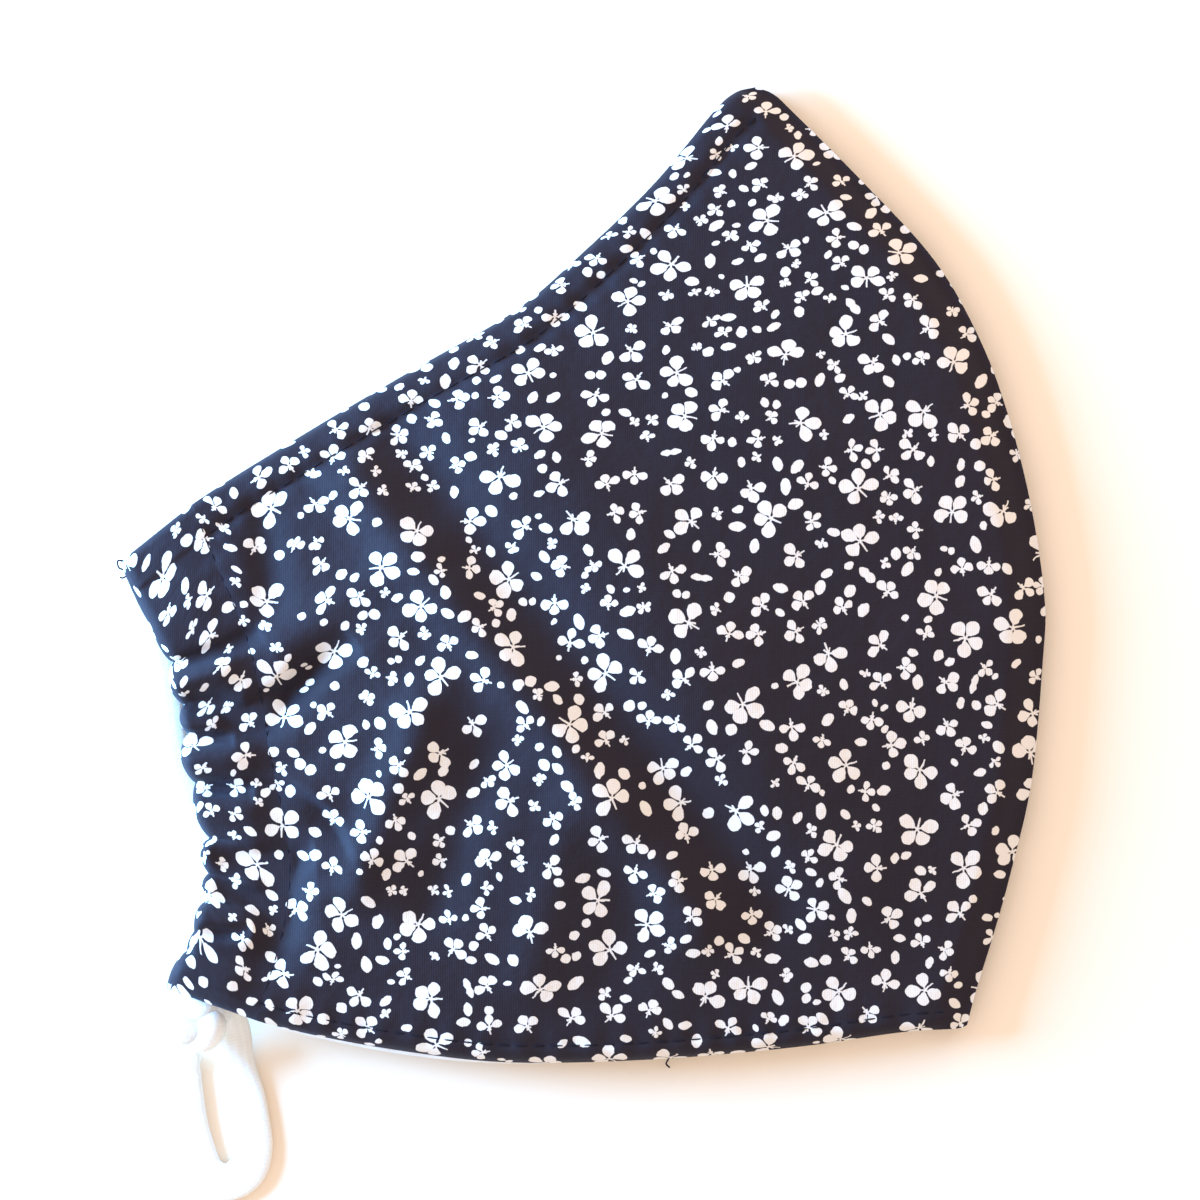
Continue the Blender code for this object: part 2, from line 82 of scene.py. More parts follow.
Place = namedtuple("Place", "across up")
TOP_EDGE = [
    Place(0.001, 0.512), Place(0.085, 0.575), Place(0.199, 0.643), Place(0.313, 0.707),
    Place(0.426, 0.769), Place(0.502, 0.831), Place(0.578, 0.901), Place(0.640, 0.972),
    Place(0.664, 0.993), Place(0.686, 0.999),
]
SEAM_EDGE = [
    Place(0.916, 0.038), Place(0.926, 0.074), Place(0.946, 0.135), Place(0.964, 0.197),
    Place(0.986, 0.289), Place(0.998, 0.412), Place(1.000, 0.473), Place(0.986, 0.566),
    Place(0.962, 0.658), Place(0.930, 0.740), Place(0.881, 0.821), Place(0.805, 0.900),
    Place(0.729, 0.972), Place(0.706, 0.992), Place(0.686, 0.999),
]
BOTTOM_EDGE = [
    Place(0.053, 0.076), Place(0.123, 0.052), Place(0.199, 0.031), Place(0.313, 0.011),
    Place(0.426, 0.000), Place(0.578, 0.003), Place(0.729, 0.015), Place(0.843, 0.030),
    Place(0.904, 0.034), Place(0.916, 0.038),
]
SIDE_EDGE = [
    Place(0.053, 0.076), Place(0.082, 0.140), Place(0.094, 0.197), Place(0.088, 0.248),
    Place(0.073, 0.309), Place(0.062, 0.371), Place(0.048, 0.416), Place(0.021, 0.470),
    Place(0.001, 0.512),
]
Gather = namedtuple("Gather", "at width height reach climb")
GATHERS = [
    Gather(0.060, 0.040, 0.80, 0.12, -0.030),
    Gather(0.165, 0.040, 0.90, 0.16, -0.020),
    Gather(0.248, 0.028, 0.70, 0.12, 0.000),
    Gather(0.322, 0.036, 1.00, 0.34, 0.020),
    Gather(0.425, 0.046, 0.85, 0.22, 0.060),
    Gather(0.528, 0.040, 0.90, 0.18, 0.070),
    Gather(0.616, 0.036, 0.90, 0.30, 0.080),
    Gather(0.700, 0.040, 1.00, 0.42, 0.100),
    Gather(0.840, 0.070, 0.35, 0.20, 0.040),
]
Fold = namedtuple("Fold", "across up to_across to_up width height")
FOLDS = [
    Fold(0.253, 0.596, 0.626, 0.145, 0.032, 0.16),
    Fold(0.302, 0.637, 0.702, 0.156, 0.034, -0.15),
    Fold(0.400, 0.690, 0.780, 0.193, 0.072, 0.10),
    Fold(0.325, 0.350, 0.258, 0.190, 0.028, 0.16),
    Fold(0.392, 0.310, 0.340, 0.165, 0.030, -0.13),
    Fold(0.490, 0.255, 0.440, 0.090, 0.030, 0.07),
    Fold(0.561, 0.217, 0.530, 0.090, 0.034, -0.06),
    Fold(0.152, 0.555, 0.145, 0.432, 0.022, -0.10),
    Fold(0.195, 0.300, 0.350, 0.385, 0.024, 0.08),
]
# Routes of the elastics, in millimetres
RIGHT_ROUTE = [
    (-57.6, -61.9, 1.8), (-55.8, -56.2, 1.4), (-54.3, -50.5, 1.3), (-54.0, -44.4, 1.3),
    (-55.6, -39.6, 1.3), (-58.7, -34.8, 1.3), (-61.3, -28.7, 1.3), (-62.5, -21.9, 1.3),
    (-63.0, -16.4, 1.3), (-63.9, -11.8, 1.3), (-64.9, -8.2, 1.3), (-65.7, -5.4, 1.3),
    (-65.9, -3.4, 1.8), (-65.8, -2.0, 3.1), (-65.4, -1.4, 4.9), (-64.6, -1.7, 6.7),
    (-63.4, -2.7, 8.0), (-62.0, -4.4, 8.45), (-59.8, -9.4, 8.45), (-57.6, -15.5, 8.45),
    (-56.3, -22.5, 8.45), (-55.0, -29.5, 8.45), (-53.5, -36.4, 8.45), (-52.5, -43.4, 8.45),
    (-52.5, -50.5, 8.45), (-53.8, -57.5, 8.4), (-54.3, -63.0, 7.6), (-53.4, -66.0, 4.6),
    (-52.6, -69.4, 2.4), (-51.9, -73.4, 1.6), (-50.6, -77.9, 1.3), (-49.8, -81.9, 1.3),
    (-49.4, -86.0, 1.3), (-50.6, -89.7, 1.3), (-53.4, -91.4, 1.3), (-56.4, -90.0, 1.3),
    (-58.1, -86.2, 1.3), (-59.4, -80.1, 1.3), (-60.4, -74.5, 1.4), (-59.9, -70.5, 1.9),
]
LEFT_ROUTE = [
    (-31.1, -48.7, 4.3), (-34.5, -52.5, 4.0), (-37.0, -57.5, 4.0), (-38.6, -62.0, 4.0),
    (-41.6, -64.6, 3.8), (-45.2, -64.2, 3.3), (-47.3, -61.6, 2.8), (-47.3, -58.0, 2.6),
    (-45.7, -52.5, 2.6), (-44.7, -46.8, 2.6), (-44.8, -40.8, 2.6), (-45.7, -34.7, 2.6),
    (-47.0, -28.7, 2.6), (-48.1, -22.5, 2.6), (-49.2, -16.3, 2.6), (-50.9, -10.1, 2.6),
    (-53.2, -4.2, 2.6), (-55.9, 1.6, 2.6), (-56.8, 4.6, 2.8), (-55.3, 7.8, 3.3),
    (-52.0, 8.9, 3.8), (-48.8, 7.2, 4.0), (-45.5, 2.5, 4.0), (-40.0, -5.0, 4.0),
    (-32.5, -11.0, 4.0), (-25.0, -14.7, 4.1), (-17.5, -18.0, 4.1), (-10.8, -22.2, 4.2),
    (-5.8, -28.2, 4.2), (-4.6, -35.2, 4.2), (-7.5, -41.5, 4.2), (-12.0, -45.2, 4.3),
    (-16.5, -46.6, 4.4), (-20.6, -46.5, 4.6),
]
RIGHT_KNOT = (-0.0579, -0.0667, 0.0060)
LEFT_KNOT = (-0.0260, -0.0462, 0.0048)
RIGHT_MOUTH = (-0.0543, -0.0630, 0.0072)
LEFT_MOUTH = (-0.0473, -0.0580, 0.0026)

# sizes of the looks
CLOTH = 0.0006
HEM_STITCH_IN = 0.0050
CHIN_STITCH_IN = 0.0027
HEM_THICKNESS = 0.00028
HEM_STEP_RUN = 0.0008
EDGE_ROUND = 0.0011
HEM_FALL = 0.0009
TOP_HEM_FALL = 0.0002
HEM_FALL_RUN = 0.0034
GROOVE_DEPTH = 0.00020
GROOVE_WIDTH = 0.00055
NARROW_GROOVE = 1.6
PUCKER_HEIGHT = 0.00010
PUCKER_PITCH = 0.0047
PUCKER_REACH = 0.0028
PUCKER_DRIFT = 2.3
PUCKER_DRIFT_RUN = 0.011
STITCH_LINE_POINTS = 120
STITCH_PITCH = 0.0026
STITCH_LENGTH = 0.0021
STITCH_RISE = 0.00004
STITCH_DIP = 0.00012
THREAD = 0.00022
LOOSE_THREAD_RADIUS = 0.00013
LINING_DEPTH = 0.0013
LINING_END = 0.955

BAND_WIDTH = 0.0054
BAND_THICKNESS = 0.0015
BAND_LOWER = 0.0004
BAND_POINTS, BAND_SIDES = 420, 28
BAND_END = 0.0016
BAND_END_SIZE = 0.25
KNOT_LENGTH = 0.0034
KNOT_BREADTH = 0.0024
KNOT_RISE = 0.00045
KNOT_TURN = 20
KNOT_POINTS, KNOT_SIDES = 150, 18
KNOT_STEP = 0.0003
STRAND_HALF_WIDTH = 0.00270
STRAND_HALF_HEIGHT = 0.00170

# Creases of the upper half, in millimetres from the origin: depth of the valley, its half width
# and how much higher the cloth is on the left of the line than on the right
Crease = namedtuple("Crease", "depth width step points")
CREASE_STEP_REACH = 4
CREASES = [
    Crease(1.8, 1.4, 0.2, [(-63.5, -15.8), (-58.0, -13.0), (-52.0, -10.5), (-48.0, -8.5)]),
    Crease(4.2, 2.3, 0.3, [(-61.5, -20.6), (-54.9, -20.0), (-50.0, -21.3),
                           (-44.4, -18.3), (-39.8, -13.8), (-34.0, -10.0)]),
    Crease(2.0, 1.2, -0.2, [(-60.5, -25.2), (-55.5, -24.8), (-52.0, -24.8)]),
    Crease(2.0, 1.3, 0.2, [(-59.0, -31.8), (-53.5, -32.2), (-49.0, -32.6)]),
    Crease(3.2, 2.1, 0.4, [(-57.5, -40.6), (-52.0, -42.0), (-46.0, -42.5), (-40.0, -42.0)]),
    Crease(2.3, 1.4, -0.2, [(-57.5, -45.8), (-53.0, -47.0), (-48.0, -48.8), (-43.0, -51.0)]),
    Crease(1.7, 3.4, 0.5, [(-44.8, -41.0), (-45.0, -50.0), (-47.2, -61.0)]),
    Crease(0.5, 0.6, 0.6, [(-50.5, -30.4), (-44.5, -31.6), (-39.5, -34.4), (-36.3, -38.5),
                           (-34.0, -44.0)]),
    Crease(1.6, 1.1, 0.0, [(-57.5, -53.2), (-53.0, -53.6), (-49.5, -53.2)]),
    Crease(0.8, 3.0, 0.0, [(-47.5, 6.0), (-46.5, -2.0), (-47.5, -8.0)]),
]

# Lobes of the gathered edge from the chin end: the share along it where each starts and, in
# millimetres, how far out of the outline the dip there lies, how far out the lobe after it swells
# and how deep the dip is
Lobe = namedtuple("Lobe", "start dip swell depth")
LOBES = [
    Lobe(0.000, 0.20, 0.75, 0.0),
    Lobe(0.094, -0.20, 0.20, 0.5),
    Lobe(0.142, -0.10, 0.50, 0.5),
    Lobe(0.216, -0.95, 0.55, 1.1),
    Lobe(0.275, -0.40, 0.90, 0.9),
    Lobe(0.353, -1.05, 0.65, 1.1),
    Lobe(0.478, -0.60, 0.80, 0.8),
    Lobe(0.587, -0.95, 0.10, 0.9),
    Lobe(0.654, -0.95, 0.55, 0.9),
    Lobe(0.749, -1.05, 0.10, 0.8),
    Lobe(0.850, -0.10, 0.15, 0.0),
    Lobe(1.000, 0.00, 0.00, 0.0),
]
LOBE_REACH = 0.0045
LOBE_ROUND = 0.6

# Loose ends of thread at the chin end of the hem and at the upper ear corner, in millimetres
LOOSE_THREADS = [
    [(12.7, -70.9, 4.9), (13.1, -71.9, 4.8), (12.8, -72.8, 3.4), (12.5, -73.6, 1.6),
     (13.0, -74.2, 0.5)],
    [(-67.4, 1.0, 9.3), (-68.6, 1.9, 9.5), (-69.5, 1.9, 9.3), (-69.3, 0.9, 9.0),
     (-68.4, 0.6, 8.9)],
    [(-67.9, -0.1, 8.9), (-68.7, -0.6, 8.8), (-69.2, -0.5, 8.7)],
]

# The upper casing and panel as they look: the casing is flatter than the solid, and nearly level
# with the panel at the stitch line, and the folds are stronger
SLEEVE_BASE = 0.0065
SLEEVE_HEIGHT = 0.0038
SLEEVE_FLOOR = 0.0093
FLOOR_DROP = 0.0060
FLOOR_RUN = 0.10
SLEEVE_BAND_LEVEL = 0.0079
LOOK_GATHER_HEIGHT = 0.0025
GATHER_FADE = 0.035
GATHER_LEFT = 0.35
CASING_SHARE = 0.11
CASING_LOW_SIDE = 0.001
CASING_TOP_FROM = 0.8
RELIEF_RISE = 1.6
SOFT_CORNER = 0.0002
SHARP_ANGLE = 55
CRUMPLE_BROAD = 0.10
CRUMPLE_FINE = 0.05
LOOK_FOLDS = 1.9
SLEEVE_FALL = 0.0002
PANEL_RAISE = 0.0019
PANEL_RAISE_REACH = 0.08

Lamp = namedtuple("Lamp", "place size power colour")
LAMPS = [
    Lamp((-0.31, 0.03, 0.074), 0.20, 8.4, (0.18, 0.48, 0.92)),
    Lamp((0.20, 0.28, 0.110), 0.20, 0.35, (1.00, 0.88, 0.85)),
]
SKY_COLOUR = (1.04, 0.93, 0.88)
SKY_STRENGTH = 1.0

FLOOR_COLOUR = (0.95, 0.80, 0.63)
FLOOR_HALF = 2

PHOTO_WIDTH = 0.180
CAMERA_CENTRE = (0.00255, -0.0039)
CAMERA_HEIGHT = 1.25
CAMERA_SENSOR = 36.0
PHOTO_LEVEL = 0.004

PANEL_ROWS, PANEL_COLUMNS = 210, 220
LOWER_GRID = 110
CASING_COLUMNS = 30
CASING_ROWS, LOWER_CASING_ROWS = 260, 160
NOSE_POINTS = 13
UNDER_POINTS = 12
HOOD_SIDES = CASING_COLUMNS + NOSE_POINTS // 2


# camera, lights and floor
def placed(name, data):
    made = bpy.data.objects.new(name, data)
    bpy.context.scene.collection.objects.link(made)
    return made


def make_stage():
    scene = bpy.context.scene
    scene.view_settings.view_transform = "Standard"
    camera = bpy.data.cameras.new("camera")
    camera.sensor_width = CAMERA_SENSOR
    camera.lens = CAMERA_SENSOR * (CAMERA_HEIGHT - PHOTO_LEVEL) / PHOTO_WIDTH
    camera.clip_end = 10
    scene.camera = placed("camera", camera)
    scene.camera.location = (*CAMERA_CENTRE, CAMERA_HEIGHT)
    for number, lamp in enumerate(LAMPS):
        light = bpy.data.lights.new(f"lamp_{number}", "AREA")
        light.shape = "DISK"
        light.size = lamp.size
        light.energy = lamp.power
        light.color = lamp.colour
        light_object = placed(light.name, light)
        light_object.location = lamp.place
        light_object.rotation_euler = Vector(lamp.place).to_track_quat("Z", "Y").to_euler()
    world = bpy.data.worlds.new("sky")
    scene.world = world
    world.use_nodes = True
    background = world.node_tree.nodes["Background"]
    background.inputs["Color"].default_value = (*SKY_COLOUR, 1)
    background.inputs["Strength"].default_value = SKY_STRENGTH
    floor = bpy.data.meshes.new("floor")
    corners = [(x * FLOOR_HALF, y * FLOOR_HALF, 0) for x, y in ((-1, -1), (1, -1), (1, 1), (-1, 1))]
    floor.from_pydata(corners, [], [(0, 1, 2, 3)])
    floor.materials.append(
        new_material("pale_floor", {"Base Color": (*FLOOR_COLOUR, 1), "Roughness": 0.7})[0]
    )
    placed("floor", floor)


# plan of the cloth, as in the solids
def place_in_metres(place):
    return ((place.across - 0.5) * HALF_WIDTH, (place.up - 0.5) * HALF_HEIGHT)


def smooth_line(places):
    knots = np.array(places)
    knots = np.vstack([2 * knots[0] - knots[1], knots, 2 * knots[-1] - knots[-2]])
    spans = [spline_span(knots[i : i + 4]) for i in range(len(knots) - 3)]
    line = np.vstack(spans + [knots[-2:-1]])
    return line, np.concatenate([[0.0], np.cumsum(np.linalg.norm(np.diff(line, axis=0), axis=1))])


def spline_span(knots):
    t = np.linspace(0, 1, SPLINE_STEPS, endpoint=False)[:, None]
    a, b, c, d = knots
    slope, bend, twist = c - a, 2 * a - 5 * b + 4 * c - d, 3 * b - a - 3 * c + d
    return 0.5 * (2 * b + slope * t + bend * t**2 + twist * t**3)


def eased(x):
    x = np.clip(x, 0, 1)
    return x * x * (3 - 2 * x)


class Edge:
    """A smooth curve through the rows of an outline table, read by its share of length."""

    def __init__(self, places):
        self.line, self.run = smooth_line([place_in_metres(place) for place in places])
        self.length = self.run[-1]

    def at(self, share):
        wanted = np.asarray(share) * self.length
        return points_along(wanted, self.run, self.line)


def points_along(wanted, run, line):
    return np.stack([np.interp(wanted, run, axis) for axis in line.T], axis=-1)


TOP, SEAM, BOTTOM, SIDE = map(Edge, (TOP_EDGE, SEAM_EDGE, BOTTOM_EDGE, SIDE_EDGE))
END_RUN = CASING_END_RATIO * CASING_WIDTH


class Half:
    """Plan of one half: the gathered side, its casing and the panel from there to the seam."""

    def __init__(self, side_setback, end_setback, edge_setback):
        self.side_setback = side_setback
        self.ends = end_setback / SIDE.length
        self.shrink = 1 - 2 * edge_setback / HALF_WIDTH

    def side(self, t):
        inner = self.ends + (1 - 2 * self.ends) * np.asarray(t)
        return (SIDE.at(inner) + self.side_setback * self.inward(inner)) * self.shrink

    def inward(self, t):
        t = np.asarray(t)[..., None]
        low = BOTTOM.at(END_RUN / BOTTOM.length) - BOTTOM.at(0)
        high = TOP.at(END_RUN / TOP.length) - TOP.at(0)
        middle = np.array([CASING_WIDTH, 0])
        mixed = low * (1 - t) ** 2 + 2 * middle * t * (1 - t) + high * t**2
        return mixed / np.linalg.norm(mixed, axis=-1, keepdims=True)

    def casing(self, inward, t):
        reach = CASING_WIDTH * (1 + (CASING_END_RATIO - 1) * (2 * t - 1) ** CASING_END_POWER)
        return self.side(t) + (inward * reach)[..., None] * self.inward(t)

    def hem(self, edge, corner, u):
        start = END_RUN / edge.length
        along = edge.at(start + (1 - start) * u) * self.shrink
        shift = corner - edge.at(start) * self.shrink
        return along + shift * ((1 - u) ** HEM_RETURN_POWER)[..., None]

    def panel(self, u, v):
        one = np.ones(1)
        low_corner, high_corner = self.casing(one, 0 * one)[0], self.casing(one, one)[0]
        stitch = self.casing(np.ones_like(v), v)
        seam = SEAM.at(v) * self.shrink
        low, high = self.hem(BOTTOM, low_corner, u), self.hem(TOP, high_corner, u)
        ruled = (1 - u)[..., None] * stitch + u[..., None] * seam
        lofted = (1 - v)[..., None] * low + v[..., None] * high
        near = (1 - v)[..., None] * low_corner + v[..., None] * high_corner
        far = self.shrink * ((1 - v)[..., None] * SEAM.at(0) + v[..., None] * SEAM.at(1))
        return ruled + lofted - (1 - u)[..., None] * near - u[..., None] * far


UPPER = Half(0, 0, 0)
LOWER = Half(LOWER_SIDE_SETBACK, LOWER_END_SETBACK, LOWER_EDGE_SETBACK)


def bell(x):
    """1 at 0, falling smoothly to nothing on both sides."""
    return np.exp(-(x**2))


def gather_share(u, v):
    """Height of the gathers, 0 to about 1. A negative u is in the casing."""
    total = np.zeros_like(u + v)
    for gather in GATHERS:
        across = np.clip(u, 0, None)
        reached = across / gather.reach
        ridge = bell((v - gather.at - gather.climb * reached) / gather.width)
        total = total + gather.height * ridge * bell(reached)
    return total * (STITCH_PINCH + (1 - STITCH_PINCH) * eased(np.abs(u) / PINCH_REACH))


def fold_share(plan):
    """Height of the long folds at points of the plan, as a share of PUFF_HEIGHT."""
    total = np.zeros(plan.shape[:-1])
    for fold in FOLDS:
        start = np.array(place_in_metres(Place(fold.across, fold.up)))
        span = np.array(place_in_metres(Place(fold.to_across, fold.to_up))) - start
        share = np.clip((plan - start) @ span / (span @ span), 0, 1)
        away = np.linalg.norm(plan - start - share[..., None] * span, axis=-1)
        total = total + fold.height * bell(away / (fold.width * HALF_WIDTH))
    return total


def margin(x):
    """0 at both ends of a share, 1 between them."""
    return eased(x / FOLD_MARGIN) * eased((1 - x) / FOLD_MARGIN)


def panel_height(u, v):
    plan = UPPER.panel(u, v)
    row = np.linalg.norm(UPPER.panel(np.ones_like(v), v) - UPPER.panel(0 * v, v), axis=-1)
    roll = np.sin(0.5 * math.pi * np.clip((1 - u) * row / SEAM_ROLL, 0, 1))
    across = np.sin(math.pi * np.clip(u, 0, 1) ** DOME_RISE_ACROSS)
    dome = across * np.sin(math.pi * np.clip(v, 0, 1)) ** DOME_RISE_UP
    folds = LOOK_FOLDS * margin(u) * margin(v) * fold_share(plan)
    at_casing = UPPER_BASE - STACK - PANEL_CLEARANCE
    pocket = at_casing * (1 - eased(u)) + PUFF_HEIGHT * (dome + folds)
    pocket = pocket + PANEL_RAISE * np.exp(-u / PANEL_RAISE_REACH)
    height = SEAM_HEIGHT + roll * (CLOSED_HEIGHT - SEAM_HEIGHT + pocket)
    gathers = GATHER_LEFT + (1 - GATHER_LEFT) * np.exp(-u / GATHER_FADE)
    return height + LOOK_GATHER_HEIGHT * gather_share(u, v) * gathers


# finer relief of the upper half
def line_distance(points, line):
    """Distance from each point to a line, the side that it lies on and the length run there."""
    start, span = line[:-1], np.diff(line, axis=0)
    length = np.maximum(np.linalg.norm(span, axis=1), 1e-9)
    run = np.concatenate([[0.0], np.cumsum(length)])[:-1]
    flat = points.reshape(-1, 2)
    best = np.full(len(flat), 9.0)
    side, along = np.zeros(len(flat)), np.zeros(len(flat))
    for at, step, long, before in zip(start, span, length, run):
        offset = flat - at
        share = np.clip(offset @ step / long**2, 0, 1)
        away = np.linalg.norm(offset - share[:, None] * step, axis=1)
        nearer = away < best
        best = np.where(nearer, away, best)
        turned = (step[0] * offset[:, 1] - step[1] * offset[:, 0]) / long
        side = np.where(nearer, turned, side)
        along = np.where(nearer, before + share * long, along)
    shape = points.shape[:-1]
    return best.reshape(shape), side.reshape(shape), along.reshape(shape)


def inset_line(edge, depth, first, last, turn):
    """The line that runs at one depth inside an edge, between two shares of its length."""
    share = np.linspace(first, last, STITCH_LINE_POINTS)
    place = edge.at(share)
    ahead = np.gradient(place, axis=0)
    normal = np.stack([-ahead[:, 1], ahead[:, 0]], axis=-1) * turn
    return place + depth * normal / np.linalg.norm(normal, axis=1, keepdims=True)


# Hems: how deep they are turned in and how much they fall towards the edge
Hem = namedtuple("Hem", "edge depth fall")
HEMS = [Hem(TOP, HEM_STITCH_IN, TOP_HEM_FALL), Hem(BOTTOM, CHIN_STITCH_IN, HEM_FALL)]

# Lines of stitches: the depth of the groove as a share of GROOVE_DEPTH and how far they are sunk
StitchLine = namedtuple("StitchLine", "name line groove sunk")
casing_run = np.linspace(0.035, 0.955, STITCH_LINE_POINTS)
nose_line = inset_line(TOP, HEM_STITCH_IN, END_RUN / TOP.length, 0.972, -1)
chin_line = inset_line(BOTTOM, CHIN_STITCH_IN, END_RUN / BOTTOM.length, 0.965, 1)
STITCH_LINES = [
    StitchLine("nose_stitches", nose_line, 3.0, -0.00004),
    StitchLine("chin_stitches", chin_line, 1.0, -0.00004),
    StitchLine("casing_stitches", UPPER.casing(np.ones_like(casing_run), casing_run), 0.3, 0.00008),
]


def relief(plan):
    """What the hems, the stitch lines and the creases add to the height at points of the plan."""
    height = np.zeros(plan.shape[:-1])
    for hem in HEMS:
        away = line_distance(plan, hem.edge.line)[0]
        height += HEM_THICKNESS * (1 - eased((away - hem.depth + HEM_STEP_RUN / 2) / HEM_STEP_RUN))
        height -= hem.fall * (1 - np.clip(away / HEM_FALL_RUN, 0, 1)) ** 2
        height -= EDGE_ROUND * (1 - np.sqrt(1 - (1 - np.clip(away / EDGE_ROUND, 0, 1)) ** 2))
    for stitches in STITCH_LINES:
        away, _, along = line_distance(plan, stitches.line)
        width = GROOVE_WIDTH * max(1, stitches.groove / NARROW_GROOVE)
        height -= stitches.groove * GROOVE_DEPTH * bell(away / width)
        drift = PUCKER_DRIFT * np.sin(along / PUCKER_DRIFT_RUN)
        ripple = np.sin(FULL_TURN * along / PUCKER_PITCH + drift)
        height += PUCKER_HEIGHT * ripple * bell(away / PUCKER_REACH)
    for crease in CREASES:
        line, run = smooth_line(np.array(crease.points) / 1000)
        away, side, along = line_distance(plan, line)
        ends = np.sin(math.pi * np.clip(along / run[-1], 0.001, 0.999)) ** 0.5
        width = crease.width / 1000
        step = np.tanh(side / width) * bell(away / (CREASE_STEP_REACH * width))
        height += ends * (crease.step * step - crease.depth * bell(away / width)) / 1000
    return height


def lobes(t):
    """Along the gathered side: how far out the edge swells, and how deep it dips between lobes."""
    out, dip = np.zeros_like(t), np.zeros_like(t)
    for lobe, following in zip(LOBES, LOBES[1:]):
        share = (t - lobe.start) / (following.start - lobe.start)
        here = (share >= 0) & (share <= 1)
        share = np.clip(share, 0, 1)
        rise = np.sin(math.pi * share) ** LOBE_ROUND
        base = lobe.dip + (following.dip - lobe.dip) * share
        deep = lobe.depth + (following.depth - lobe.depth) * share
        out = np.where(here, base + (lobe.swell - base) * rise, out)
        dip = np.where(here, deep * (1 - rise), dip)
    return out / 1000, dip / 1000


def crumple(plan):
    """Small soft unevenness of the cloth all over, as waves some centimetres long."""
    x, y = plan[..., 0] * 1000, plan[..., 1] * 1000
    broad = np.sin(0.21 * x + 0.9 * np.sin(0.13 * y))
    broad = broad * np.sin(0.17 * y + 0.8 * np.sin(0.11 * x + 1.0))
    fine = np.sin(0.43 * x + 0.31 * y + 1.1 * np.sin(0.23 * y)) * np.sin(0.39 * y - 0.2 * x)
    return (CRUMPLE_BROAD * broad + CRUMPLE_FINE * fine) / 1000


def no_lower(height, lowest):
    """The height where it is above the lowest level, with a soft corner between them."""
    return lowest + np.logaddexp(0, (height - lowest) / SOFT_CORNER) * SOFT_CORNER


# meshes
def linked(name, mesh, finish, slot, *nodes):
    mesh.materials.append(finish)
    obj = placed(name, mesh)
    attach(obj, "root")
    if nodes:
        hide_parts(*nodes)
    return obj


def grid_quads(rows, cols):
    corner = (np.arange(rows - 1)[:, None] * cols + np.arange(cols - 1)[None]).reshape(-1)
    return np.stack([corner, corner + 1, corner + cols + 1, corner + cols], axis=-1)


def smooth_mesh(name, points, faces, uv):
    """A smooth mesh, its faces outwards, with its places on the flat cloth as UV."""
    mesh = bpy.data.meshes.new(name)
    mesh.from_pydata(points.reshape(-1, 3).tolist(), [], faces)
    layer = mesh.uv_layers.new(name="cut")
    corners = np.empty(len(mesh.loops), np.int64)
    mesh.loops.foreach_get("vertex_index", corners)
    layer.data.foreach_set("uv", uv.reshape(-1, 2)[corners].reshape(-1))
    mesh.shade_smooth()
    build = bmesh.new()
    build.from_mesh(mesh)
    bmesh.ops.recalc_face_normals(build, faces=build.faces)
    build.to_mesh(mesh)
    build.free()
    return mesh


def filled_mesh(name, points, faces, uv):
    mesh = smooth_mesh(name, points, faces.tolist(), uv)
    mesh.set_sharp_from_angle(angle=math.radians(SHARP_ANGLE))
    return mesh


def wall_faces(skin, shift):
    """Faces of a wall between a skin of faces and its copy, whose points come a shift later."""
    sides = {side for face in skin for side in zip(face, face[1:] + face[:1])}
    rim = [(a, b) for a, b in sides if (b, a) not in sides]
    back = [tuple(point + shift for point in face[::-1]) for face in skin]
    return skin + back + [(b, a, a + shift, b + shift) for a, b in sorted(rim)]


def normals_of(skin):
    along, up = np.gradient(skin, axis=1), np.gradient(skin, axis=0)
    normal = np.cross(along, up)
    return normal / np.maximum(np.linalg.norm(normal, axis=-1, keepdims=True), 1e-12)


def wall(name, skin, thickness, uv):
    """A closed sheet whose upper side is the skin, a grid of points."""
    rows, cols = skin.shape[:2]
    under = skin - thickness * normals_of(skin)
    count = rows * cols
    quads = grid_quads(rows, cols)
    number = np.arange(count).reshape(rows, cols)
    rim = np.concatenate([number[0], number[1:, -1], number[-1, -2::-1], number[-2:0:-1, 0]])
    after = np.roll(rim, -1)
    side = np.stack([after, rim, rim + count, after + count], axis=-1)
    faces = np.vstack([quads, quads[:, ::-1] + count, side])
    return filled_mesh(name, np.stack([skin, under]), faces, np.stack([uv, uv]))


def cut_places(skin, start):
    """Where a gathered skin's points lay on the flat cloth: across as in plan, up by its length."""
    steps = np.linalg.norm(np.diff(skin, axis=0), axis=-1)
    run = np.concatenate([np.zeros((1, skin.shape[1])), np.cumsum(steps, axis=0)])
    middle = skin.shape[0] // 2
    up = run - run[middle : middle + 1] + start[middle, :, 1][None]
    return np.stack([start[..., 0], up], axis=-1)


rows_of_panel = np.linspace(0, 1, PANEL_ROWS)
even = np.linspace(0, 1, PANEL_COLUMNS)
columns_of_panel = 0.75 * even**1.3 + 0.25 * (1 - (1 - even) ** 1.6)


def upper_panel_skin():
    u, v = np.meshgrid(columns_of_panel, rows_of_panel)
    plan = UPPER.panel(u, v)
    height = panel_height(u, v) + relief(plan) + crumple(plan)
    height = no_lower(height, SLEEVE_FLOOR - FLOOR_DROP * eased(u / FLOOR_RUN))
    return np.concatenate([plan, height[..., None]], axis=-1)


